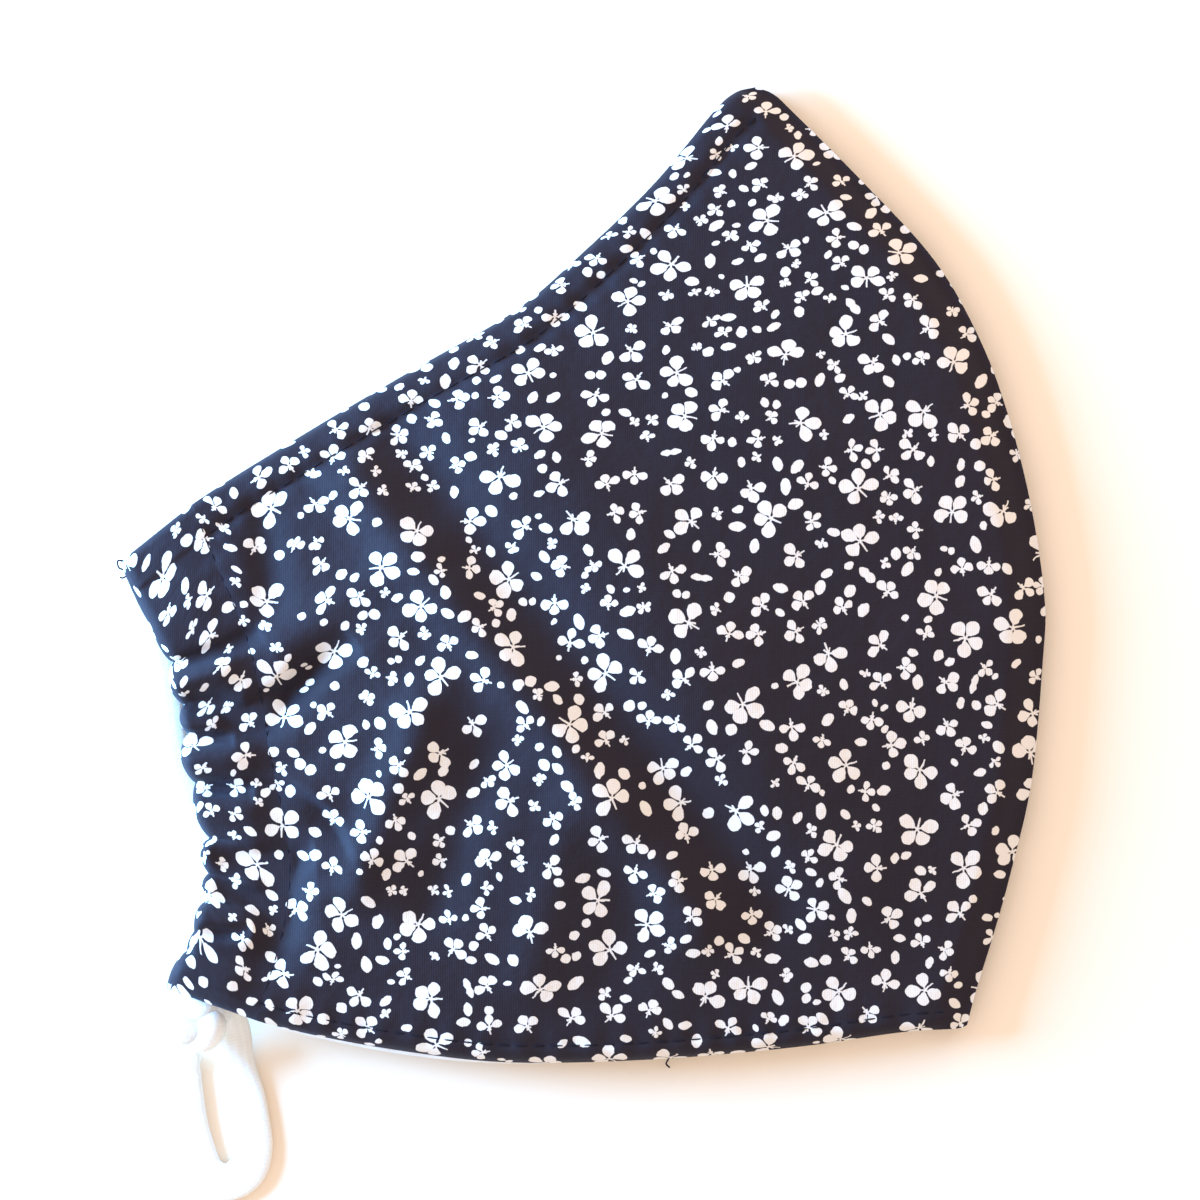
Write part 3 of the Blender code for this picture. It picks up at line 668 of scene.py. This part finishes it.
def casing_profile(count, wall_depth, height, fall):
    """The casing's section: along its top from the stitch line, round its edge and back below."""
    radius = height / 2
    reach = radius - wall_depth
    top = np.linspace(1, radius / CASING_WIDTH, count)
    drop = fall * eased((top - CASING_CROWN) / (1 - CASING_CROWN))
    upper = [(x, height - d - wall_depth) for x, d in zip(top, drop)]
    turn = np.radians(np.linspace(90, 270, NOSE_POINTS + 2))[1:-1]
    nose = [(radius + reach * math.cos(a), radius + reach * math.sin(a)) for a in turn]
    nose = [(x / CASING_WIDTH, z) for x, z in nose]
    under = [(x, wall_depth) for x in np.linspace(radius / CASING_WIDTH, 1, UNDER_POINTS)]
    return np.array(upper + nose + under)


def casing_mesh(name, half, base, height, fall, bulge, rows, folded):
    """The gathered sleeve, open at both ends, as one closed mesh, and its outer skin's points."""
    t = np.linspace(0, 1, rows)
    out, dip = lobes(t)
    skins = []
    for wall_depth in (0.0, CLOTH):
        profile = casing_profile(CASING_COLUMNS, wall_depth, height, fall)
        inward, stations = np.meshgrid(profile[:, 0], t)
        level = np.broadcast_to(profile[:, 1], inward.shape)
        share = gather_share((inward - 1) * CASING_SHARE, stations)
        top = (level - CASING_LOW_SIDE) / (height - fall - CASING_LOW_SIDE)
        top = np.clip(top, 0, 1)
        plan = half.casing(inward, stations)
        near = bell(inward * CASING_WIDTH / LOBE_REACH)
        plan = plan - (out[:, None] * near)[..., None] * half.inward(stations)
        lifted = base + level + bulge * share * top
        if folded:
            lifted = lifted - dip[:, None] * near * top
            lifted = lifted + (relief(plan) + crumple(plan)) * eased(top * RELIEF_RISE)
            kept_up = no_lower(lifted, SLEEVE_FLOOR - wall_depth)
            lifted = np.where(top > CASING_TOP_FROM, kept_up, lifted)
        skins.append(np.concatenate([plan, lifted[..., None]], axis=-1))
    outer = skins[0]
    cols = outer.shape[1]
    uv = sleeve_cut(outer)
    quads = []
    for row in range(rows - 1):
        kept = HOOD_SIDES if folded and t[row] >= HOOD_FROM else cols
        for side in range(kept):
            a, b = row * cols + side, row * cols + (side + 1) % cols
            quads.append((a, b, b + cols, a + cols))
    faces = np.array(wall_faces(quads, rows * cols))
    return filled_mesh(name, np.stack(skins), faces, np.stack([uv, uv])), outer


def sleeve_cut(skin):
    """Flat places of the sleeve's cloth: it runs on from the panel, over the top and round."""
    across = np.linalg.norm(np.diff(skin, axis=1), axis=-1)
    run = np.concatenate([np.zeros((skin.shape[0], 1)), np.cumsum(across, axis=1)], axis=1)
    start = np.stack([skin[:, :1, 0] - run, np.broadcast_to(skin[:, :1, 1], run.shape)], axis=-1)
    return cut_places(skin, start)


def tube_points(path, ahead, side, rise):
    """Rings round a path: side is how far each point of a ring lies across it, rise how far up."""
    ahead = ahead / np.linalg.norm(ahead, axis=1, keepdims=True)
    across = np.cross((0, 0, 1), ahead)
    across /= np.linalg.norm(across, axis=1, keepdims=True)
    up = np.cross(ahead, across)
    return path[:, None] + across[:, None] * side[..., None] + up[:, None] * rise[..., None]


def tube_quads(count, sides, closed):
    """Faces between rings, from the last ring to the first one too where the tube is closed."""
    corner = np.arange(count * sides).reshape(count, sides)
    beside = np.roll(corner, -1, axis=1)
    above, above_beside = np.roll(corner, -1, axis=0), np.roll(beside, -1, axis=0)
    quads = np.stack([corner, beside, above_beside, above], axis=-1)
    return quads[: count if closed else count - 1].reshape(-1, 4)


def rounded(share, power):
    """A sine or cosine with its middle pulled out, for a section that is fuller than an oval."""
    return np.sign(share) * np.abs(share) ** power


def band_mesh(name, route):
    """A soft flat-oval band along a route, the points that it follows and its length."""
    line, run = smooth_line(route)
    wanted = np.linspace(0, run[-1], BAND_POINTS)
    path = points_along(wanted, run, line)
    around = np.linspace(0, FULL_TURN, BAND_SIDES, endpoint=False)
    ends = np.minimum(1, np.minimum(wanted, run[-1] - wanted) / BAND_END) ** 0.5
    ends = ends * (1 - BAND_END_SIZE) + BAND_END_SIZE
    swell = (1 + 0.05 * np.sin(wanted / 0.0041) + 0.03 * np.sin(wanted / 0.0017 + 1)) * ends
    side = swell[:, None] * rounded(np.cos(around), 0.85) * BAND_WIDTH / 2
    rise = ends[:, None] * rounded(np.sin(around), 0.9) * BAND_THICKNESS / 2
    points = tube_points(path, np.gradient(path, axis=0), side, rise)
    uv = np.stack(np.broadcast_arrays(around[None] * BAND_WIDTH / 4, wanted[:, None]), axis=-1)
    quads = tube_quads(BAND_POINTS, BAND_SIDES, False).tolist()
    number = np.arange(BAND_POINTS * BAND_SIDES).reshape(BAND_POINTS, BAND_SIDES)
    caps = [number[0, ::-1].tolist(), number[-1].tolist()]
    return smooth_mesh(name, points, quads + caps, uv), path, run[-1]


def knot_mesh(name, centre):
    """An overhand knot pulled tight: one soft strand that crosses itself three times."""
    t = np.linspace(0, FULL_TURN, KNOT_POINTS, endpoint=False)
    x = (np.sin(t) + 2 * np.sin(2 * t)) / 3 * KNOT_LENGTH
    y = (np.cos(t) - 2 * np.cos(2 * t)) / 3 * KNOT_BREADTH
    path = np.stack([x, y, -np.sin(3 * t) * KNOT_RISE], axis=-1)
    ahead = np.roll(path, -1, axis=0) - np.roll(path, 1, axis=0)
    around = np.linspace(0, FULL_TURN, KNOT_SIDES, endpoint=False)
    side, rise = STRAND_HALF_WIDTH * np.cos(around), STRAND_HALF_HEIGHT * np.sin(around)
    points = tube_points(path, ahead, side[None], rise[None])
    spin = np.array(Matrix.Rotation(math.radians(KNOT_TURN), 3, "Z"))
    points = points @ spin.T + np.array(centre)
    run = np.arange(KNOT_POINTS)[:, None] * KNOT_STEP
    uv = np.stack(np.broadcast_arrays(around[None] * BAND_WIDTH / 4, run), axis=-1)
    return filled_mesh(name, points, tube_quads(KNOT_POINTS, KNOT_SIDES, True), uv)


# stitches
def stitch_tree():
    """Geometry nodes that lay a stitch at every step along a curve and make them one mesh."""
    tree = bpy.data.node_groups.new("stitch_line", "GeometryNodeTree")
    kinds = {"Line": "Geometry", "Pitch": "Float", "Stitch": "Object", "Finish": "Material"}
    names = {
        name: tree.interface.new_socket(name, in_out="INPUT", socket_type="NodeSocket" + kind)
        for name, kind in kinds.items()
    }
    tree.interface.new_socket("Stitches", in_out="OUTPUT", socket_type="NodeSocketGeometry")
    nodes = tree.nodes
    given, made = nodes.new("NodeGroupInput"), nodes.new("NodeGroupOutput")
    resample, tangent, info, lay, realise, paint = (
        nodes.new("GeometryNode" + kind)
        for kind in ("ResampleCurve", "InputTangent", "ObjectInfo", "InstanceOnPoints",
                     "RealizeInstances", "SetMaterial")
    )
    resample.mode = "LENGTH"
    align = nodes.new("FunctionNodeAlignRotationToVector")
    align.axis = "X"
    wobble = nodes.new("FunctionNodeRandomValue")
    wobble.data_type = "FLOAT_VECTOR"
    wobble.inputs["Min"].default_value = (0.93, 0.95, 0.95)
    wobble.inputs["Max"].default_value = (1.05, 1.05, 1.05)
    wobble.inputs["Seed"].default_value = 5
    for source, output, target, socket in (
        (given, "Line", resample, "Curve"),
        (given, "Pitch", resample, "Length"),
        (given, "Stitch", info, "Object"),
        (tangent, "Tangent", align, "Vector"),
        (resample, "Curve", lay, "Points"),
        (info, "Geometry", lay, "Instance"),
        (align, "Rotation", lay, "Rotation"),
        (wobble, "Value", lay, "Scale"),
        (lay, "Instances", realise, "Geometry"),
        (realise, "Geometry", paint, "Geometry"),
        (given, "Finish", paint, "Material"),
        (paint, "Geometry", made, "Stitches"),
    ):
        tree.links.new(source.outputs[output], target.inputs[socket])
    return tree, {name: socket.identifier for name, socket in names.items()}


def one_stitch():
    """A short thread along X, its two ends dipping into the cloth."""
    mesh = bpy.data.meshes.new("stitch")
    build = bmesh.new()
    bmesh.ops.create_uvsphere(build, u_segments=10, v_segments=8, radius=0.5)
    for vert in build.verts:
        x, y, z = vert.co.z, vert.co.y, -vert.co.x
        along = math.copysign(abs(2 * x) ** 0.7, x) / 2
        level = z * THREAD * 0.8 + STITCH_RISE - STITCH_DIP * (2 * x) ** 4
        vert.co = (along * STITCH_LENGTH, y * THREAD, level)
    bmesh.ops.recalc_face_normals(build, faces=build.faces)
    build.to_mesh(mesh)
    build.free()
    mesh.shade_smooth()
    return placed("stitch", mesh)


def guide_along(name, points):
    """A curve object through the given points."""
    curve = bpy.data.curves.new(name, "CURVE")
    curve.dimensions = "3D"
    spline = curve.splines.new("POLY")
    spline.points.add(len(points) - 1)
    for knot, place in zip(spline.points, points):
        knot.co = (*place, 1)
    return placed(name + "_guide", curve)


def mesh_of_guide(name, guide):
    """The plain mesh that a guide's curve and modifiers give. The guide goes."""
    bpy.context.view_layer.update()
    graph = bpy.context.evaluated_depsgraph_get()
    mesh = bpy.data.meshes.new_from_object(guide.evaluated_get(graph), depsgraph=graph)
    mesh.name = name
    bpy.data.objects.remove(guide)
    return mesh


def stitch_line(name, points, tree, stitch, finish):
    guide = guide_along(name, points)
    modifier = guide.modifiers.new("stitches", "NODES")
    modifier.node_group, names = tree
    for socket, value in (("Pitch", STITCH_PITCH), ("Stitch", stitch), ("Finish", finish)):
        modifier[names[socket]] = value
    mesh = mesh_of_guide(name, guide)
    mesh.materials.clear()
    mesh.shade_smooth()
    return linked(name, mesh, finish, "printed_cotton")


def thread_end(name, points):
    """A loose end of sewing thread as a thin tube."""
    guide = guide_along(name, smooth_line(points)[0][::4])
    guide.data.bevel_depth = LOOSE_THREAD_RADIUS
    guide.data.bevel_resolution = 2
    guide.data.use_fill_caps = True
    return mesh_of_guide(name, guide)


def surface_height(points, skins):
    """The height of the upper half's skins above points of the plan."""
    every = np.concatenate([skin.reshape(-1, 3) for skin in skins])
    nearest = [np.argmin(((every[:, :2] - point) ** 2).sum(axis=1)) for point in points]
    return every[nearest, 2]


# shader arithmetic
def operator(name, flipped=False):
    """A method that adds a Math node for the number and what it is worked with."""

    def method(self, *others):
        values = (self, *others)
        return Number.maths(name, *(values[::-1] if flipped else values))

    return method


class Number:
    """A shader socket that takes arithmetic."""

    tree = None

    def __init__(self, socket):
        self.socket = socket

    @classmethod
    def node(cls, kind, output, inputs, **settings):
        made = cls.tree.nodes.new(kind)
        for name, value in settings.items():
            setattr(made, name, value)
        for key, value in inputs.items():
            if isinstance(value, Number):
                cls.tree.links.new(value.socket, made.inputs[key])
            else:
                made.inputs[key].default_value = value
        return cls(made.outputs[output])

    @classmethod
    def maths(cls, operation, *values):
        return cls.node("ShaderNodeMath", 0, dict(enumerate(values)), operation=operation)

    @classmethod
    def vector(cls, x, y, z=0.0):
        return cls.node("ShaderNodeCombineXYZ", 0, {0: x, 1: y, 2: z})

    def parts(self):
        made = Number.node("ShaderNodeSeparateXYZ", 0, {0: self})
        return [Number(out) for out in made.socket.node.outputs]

    __add__, __radd__ = operator("ADD"), operator("ADD", flipped=True)
    __sub__, __rsub__ = operator("SUBTRACT"), operator("SUBTRACT", flipped=True)
    __mul__, __rmul__ = operator("MULTIPLY"), operator("MULTIPLY", flipped=True)
    __truediv__, __pow__, __abs__ = operator("DIVIDE"), operator("POWER"), operator("ABSOLUTE")
    smallest, largest = operator("MINIMUM"), operator("MAXIMUM")
    over, under = operator("GREATER_THAN"), operator("LESS_THAN")
    sine, cosine = operator("SINE"), operator("COSINE")

    def clipped(self):
        return self.largest(0.0).smallest(1.0)


def mixed(share, first, second):
    ends = [end if isinstance(end, Number) else (*end, 1) for end in (first, second)]
    inputs = {0: share, 6: ends[0], 7: ends[1]}
    return Number.node("ShaderNodeMix", 2, inputs, data_type="RGBA")


def noise(place, scale, detail=2.0):
    return Number.node("ShaderNodeTexNoise", 0, {"Vector": place, "Scale": scale, "Detail": detail})


class Scatter(namedtuple("Scatter", "cell randomness shift")):
    """A layer of scattered motifs, one to a cell. Places are in millimetres on the cut cloth."""

    def nearest(self, x, y):
        """The offset from the nearest motif, its place, its three random numbers and its room."""
        place = Number.vector(x + self.shift, y + 1.7 * self.shift)
        kind = "ShaderNodeTexVoronoi"
        inputs = {"Vector": place, "Scale": 1 / self.cell, "Randomness": self.randomness}
        near = Number.node(kind, "Position", inputs, voronoi_dimensions="2D", feature="F1")
        colour = Number(near.socket.node.outputs["Color"])
        room = Number.node(
            kind, "Radius", inputs, voronoi_dimensions="2D", feature="N_SPHERE_RADIUS"
        )
        centre_x, centre_y, _ = near.parts()
        centre_x, centre_y = centre_x - self.shift, centre_y - 1.7 * self.shift
        return x - centre_x, y - centre_y, centre_x, centre_y, colour.parts(), room * self.cell


LARGE = Scatter(12.5, 0.85, 3.0)
MEDIUM = Scatter(5.9, 0.70, 17.0)
SMALL = Scatter(3.3, 0.8, 41.0)
LARGE_RADIUS, MEDIUM_RADIUS, SMALL_RADIUS = 3.40, 2.75, 1.75
OUTSIDE = 9.0


def large_at(x, y):
    dx, dy, _, _, dice, room = LARGE.nearest(x, y)
    radius = room.smallest(LARGE_RADIUS) * (0.92 + 0.08 * dice[1])
    away = (dx * dx + dy * dy) ** 0.5
    return dx, dy, dice, radius, away - radius


def medium_at(x, y):
    dx, dy, cx, cy, dice, room = MEDIUM.nearest(x, y)
    clear = large_at(cx, cy)[4] + 0.1
    radius = room.smallest(clear).smallest(MEDIUM_RADIUS * (0.85 + 0.15 * dice[1]))
    radius = radius * radius.over(1.35)
    away = (dx * dx + dy * dy) ** 0.5
    return dx, dy, dice, radius, away - radius


def small_at(x, y):
    dx, dy, cx, cy, dice, room = SMALL.nearest(x, y)
    clear = large_at(cx, cy)[4].smallest(medium_at(cx, cy)[4]) + 0.15
    return dx, dy, dice, room.smallest(clear)


def spray(dx, dy, radius, petals, spread, turn, seed):
    """Teardrop petals fanned round a point, with a thin tail behind them. Positive inside."""
    reach = (dx * dx + dy * dy) ** 0.5
    angle = Number.maths("ARCTAN2", dy, dx) / FULL_TURN + turn
    around = Number.maths("FRACT", angle + 2.5) - 0.5
    raw = around / spread + petals * 0.5
    slot = Number.maths("FLOOR", raw)
    place = Number.vector(slot, seed)
    noises = Number.node("ShaderNodeTexWhiteNoise", "Color", {"Vector": place},
                         noise_dimensions="3D")
    dice = noises.parts()
    bearing = (raw - slot - 0.5 + (dice[0] - 0.5) * 0.24) * spread * FULL_TURN
    along, aside = reach * bearing.cosine(), abs(reach * bearing.sine())
    length = radius * (0.76 + 0.24 * dice[1])
    s = ((along / length - 0.15) / 0.85).clipped()
    petal = radius * (0.74 + 0.22 * dice[2]) * s ** 0.9 * (1.0 - s) ** 0.6 - aside
    beyond = s.over(0.999) + s.under(0.001) + slot.under(-0.5) + slot.over(petals - 0.5)
    petal = petal - OUTSIDE * beyond
    behind = (0.5 - abs(around)) * FULL_TURN
    back, beside = reach * behind.cosine(), abs(reach * behind.sine())
    tail = (0.16 - 0.10 * back / radius) - beside
    tail = tail - OUTSIDE * back.over(radius * 0.55) - OUTSIDE * back.under(0.0)
    joint = 0.13 - aside - OUTSIDE * along.over(radius * 0.3) - OUTSIDE * along.under(0.0)
    return petal.largest(tail).largest(joint) - OUTSIDE * radius.under(0.1)


def oval(dx, dy, half_length, half_width, turn, waist):
    """One pointed oval, or one with a waist. Positive inside."""
    angle = turn * FULL_TURN
    cosine, sine = angle.cosine(), angle.sine()
    along, aside = dx * cosine + dy * sine, abs(dy * cosine - dx * sine)
    share = (along / half_length).largest(-1.0).smallest(1.0)
    pinch = 1.0 - waist * (1.0 - abs(share) * 2.6).clipped()
    inside = half_width * (1.0 - share * share) ** 0.62 * pinch - aside
    return inside - OUTSIDE * abs(along).over(half_length * 0.985)


def print_mask(x, y):
    """1 on the white motifs and 0 on the ground."""
    dx, dy, dice, radius, _ = large_at(x, y)
    large = spray(dx, dy, radius, 4.0 - dice[2].over(0.75), 0.205, dice[0], dice[1] * 37.0)
    dx, dy, dice, radius, _ = medium_at(x, y)
    medium = spray(dx, dy, radius, 3.0, 0.215, dice[0], dice[1] * 53.0)
    dx, dy, dice, room = small_at(x, y)
    is_spray = dice[1].over(0.66)
    radius = room.smallest(SMALL_RADIUS * (0.9 + 0.2 * dice[2])) * room.over(0.95) * is_spray
    small = spray(dx, dy, radius, 3.0 + dice[2].over(0.6), 0.21, dice[0], dice[1] * 71.0)
    long = dice[1].under(0.16) * room.over(1.5)
    half_length = room.smallest(0.86 + 0.62 * dice[2] + long * 0.9)
    half_width = (0.56 + 0.28 * dice[2]) * (half_length / 0.86).smallest(1.0)
    single = oval(dx, dy, half_length, half_width, dice[0], long * 0.35)
    single = single - OUTSIDE * is_spray - OUTSIDE * room.under(0.5)
    inside = large.largest(medium).largest(small).largest(single)
    return ((inside + 0.05) / 0.10).clipped()


# materials
def new_material(name, settings):
    """A material and its shader's sockets, with the given settings."""
    made = bpy.data.materials.new(name)
    made.use_nodes = True
    Number.tree = made.node_tree
    sockets = made.node_tree.nodes["Principled BSDF"].inputs
    for socket, value in settings.items():
        sockets[socket].default_value = value
    return made, sockets


def feed(socket, value):
    Number.tree.links.new(value.socket, socket)


def cut_place():
    """Place on the cut cloth in millimetres."""
    place = Number.node("ShaderNodeUVMap", 0, {}, uv_map="cut")
    x, y, _ = place.parts()
    return x * 1000.0, y * 1000.0


def weave(x, y, pitch):
    """Height of a plain weave, 0 to 1."""
    warp, weft = (x * (FULL_TURN / pitch)).sine(), (y * (FULL_TURN / pitch)).sine()
    return 0.5 + 0.25 * (warp + weft) * (1.0 - 0.4 * warp * weft)


def bumped(height, strength, distance):
    inputs = {"Height": height, "Strength": strength, "Distance": distance}
    return Number.node("ShaderNodeBump", 0, inputs)


def printed_cotton():
    made, sockets = new_material("printed_cotton", {
        "Roughness": 0.72,
        "Specular IOR Level": 0.15,
        "Sheen Weight": 0.08,
        "Sheen Roughness": 0.45,
        "Sheen Tint": (0.62, 0.78, 1.0, 1),
    })
    x, y = cut_place()
    drift = noise(Number.vector(x, y), 1.1, 1.0)
    wobble = (drift - 0.5) * 0.35
    mask = print_mask(x + wobble, y - wobble)
    threads = weave(x, y, 0.34)
    cloud = noise(Number.vector(x, y), 0.06, 3.0)
    slub = noise(Number.vector(x * 0.25, y * 4.0), 1.0, 2.0)
    uneven = (cloud * 0.5 + slub * 0.5).clipped()
    ground = mixed(uneven, (0.0112, 0.0070, 0.0106), (0.0240, 0.0156, 0.0212))
    ground = mixed(threads * 0.3, ground, (0.036, 0.030, 0.040))
    white = mixed(threads * 0.5 + slub * 0.3, (0.75, 0.68, 0.61), (0.84, 0.765, 0.69))
    feed(sockets["Base Color"], mixed(mask, ground, white))
    crinkle = noise(Number.vector(x, y), 0.35, 4.0)
    feed(sockets["Normal"], bumped(threads * 0.05 + crinkle * 0.45, 0.55, 0.0009))
    return made


def lining_cotton():
    made, sockets = new_material("lining_cotton", {"Roughness": 0.85})
    x, y = cut_place()
    threads = weave(x, y, 0.40)
    slub = noise(Number.vector(x, y * 3.0), 0.8, 2.0)
    white = mixed(threads * 0.5 + slub * 0.3, (0.74, 0.73, 0.70), (0.88, 0.87, 0.84))
    feed(sockets["Base Color"], white)
    feed(sockets["Normal"], bumped(threads * 0.1 + slub * 0.3, 0.5, 0.0006))
    return made


def soft_elastic():
    made, sockets = new_material("soft_elastic", {
        "Roughness": 0.9,
        "Sheen Weight": 0.3,
        "Sheen Roughness": 0.5,
        "Subsurface Weight": 0.25,
        "Subsurface Radius": (0.0012, 0.0010, 0.0008),
        "Subsurface Scale": 1.0,
    })
    x, y = cut_place()
    rib = (x * (FULL_TURN / 0.62)).sine()
    loop = (y * (FULL_TURN / 0.55) + rib * 0.8).sine()
    knit = 0.5 + 0.28 * rib + 0.22 * loop
    fuzz = noise(Number.vector(x, y), 2.2, 4.0)
    uneven = (knit * 0.6 + fuzz * 0.4).clipped()
    feed(sockets["Base Color"], mixed(uneven, (0.78, 0.77, 0.72), (0.89, 0.87, 0.82)))
    feed(sockets["Normal"], bumped(knit * 0.2 + fuzz * 0.6, 0.5, 0.0002))
    return made


def navy_thread():
    made, sockets = new_material("navy_thread", {"Roughness": 0.9, "Specular IOR Level": 0.1})
    place = Number.node("ShaderNodeTexCoord", "Object", {})
    twist = noise(place, 4000.0, 2.0)
    feed(sockets["Base Color"], mixed(twist, (0.008, 0.007, 0.012), (0.020, 0.018, 0.026)))
    feed(sockets["Normal"], bumped(twist, 0.5, 0.0001))
    return made


# the mask
def build_elastics(finish):
    for side, route, centre, mouth in (
        ("right", RIGHT_ROUTE, RIGHT_KNOT, RIGHT_MOUTH),
        ("left", LEFT_ROUTE, LEFT_KNOT, LEFT_MOUTH),
    ):
        tied = knot_mesh(f"knot_{side}", centre)
        knot = linked(f"knot_{side}", tied, finish, "soft_elastic", f"loop_knot_{side}")
        low = np.array(route) / 1000
        low[:, 2] = np.minimum(low[:, 2] - BAND_LOWER, SLEEVE_BAND_LEVEL)
        mesh, path, length = band_mesh(f"ear_band_{side}", low)
        band = linked(f"ear_band_{side}", mesh, finish, "soft_elastic", f"ear_loop_{side}")


def build_upper(cotton, lining, thread):
    skin = upper_panel_skin()
    outside = wall("cloth_right", skin, CLOTH, cut_places(skin, skin[..., :2]))
    panel = linked("cloth_right", outside, cotton, "printed_cotton", "outer_panel_right")
    casing, sleeve_skin = casing_mesh("casing_right", UPPER, SLEEVE_BASE, SLEEVE_HEIGHT,
                                      SLEEVE_FALL, LOOK_GATHER_HEIGHT, CASING_ROWS, True)
    sleeve = linked("casing_right", casing, cotton, "printed_cotton", "side_casing_right")
    columns = columns_of_panel[columns_of_panel < LINING_END][::2]
    u, v = np.meshgrid(columns, rows_of_panel[::2])
    plan = UPPER.panel(u, v)
    rolled = LINING_ROLL_OUT * bell((u - ROLL_OUT_AT) / ROLL_OUT_RUN) * bell(v / ROLL_OUT_FADE)
    plan = plan - np.stack([0 * rolled, rolled], axis=-1)
    height = panel_height(u, v) + relief(plan) + crumple(plan)
    height = height - LINING_DEPTH - rolled * ROLL_OUT_FALL
    under = np.concatenate([plan, height[..., None]], axis=-1)
    inside = wall("lining_cloth_right", under, CLOTH, cut_places(under, plan))
    inner = linked("lining_cloth_right", inside, lining, "lining_cotton", "lining_right")
    tree, stitch = stitch_tree(), one_stitch()
    skins = [skin, sleeve_skin[:, :CASING_COLUMNS]]
    for stitches in STITCH_LINES:
        heights = surface_height(stitches.line, skins) - stitches.sunk
        points = np.column_stack([stitches.line, heights])
        stitch_line(stitches.name, points, tree, stitch, thread)
    bpy.data.objects.remove(stitch)
    for number, points in enumerate(LOOSE_THREADS):
        name = f"loose_thread_{number}"
        linked(name, thread_end(name, np.array(points) / 1000), thread, "printed_cotton")


def build_lower(cotton, lining):
    u, v = np.meshgrid(np.linspace(0, 1, LOWER_GRID), np.linspace(0, 1, LOWER_GRID))
    plan = LOWER.panel(u, v)
    flat = np.concatenate([plan, np.zeros(plan.shape[:-1] + (1,))], axis=-1)
    lift = np.array([0, 0, CLOTH + 0.0002])
    near = wall("cloth_left", flat + lift, CLOTH, plan * (-1, 1) + (0.3, 0.0))
    panel = linked("cloth_left", near, cotton, "printed_cotton", "outer_panel_left")
    keep = u[0] < LINING_END
    above = flat[:, keep] + np.array([0, 0, 2 * CLOTH + 0.0006])
    inside = wall("lining_cloth_left", above, CLOTH, plan[:, keep])
    inner = linked("lining_cloth_left", inside, lining, "lining_cotton", "lining_left")
    casing, _ = casing_mesh("casing_left", LOWER, 0.0, CASING_HEIGHT, CASING_HEIGHT - STACK,
                            LOWER_BULGE, LOWER_CASING_ROWS, False)
    sleeve = linked("casing_left", casing, cotton, "printed_cotton", "side_casing_left")


def main():
    make_stage()
    elastic, cotton, lining = soft_elastic(), printed_cotton(), lining_cotton()
    thread = navy_thread()
    build_elastics(elastic)
    build_lower(cotton, lining)
    build_upper(cotton, lining, thread)


main()
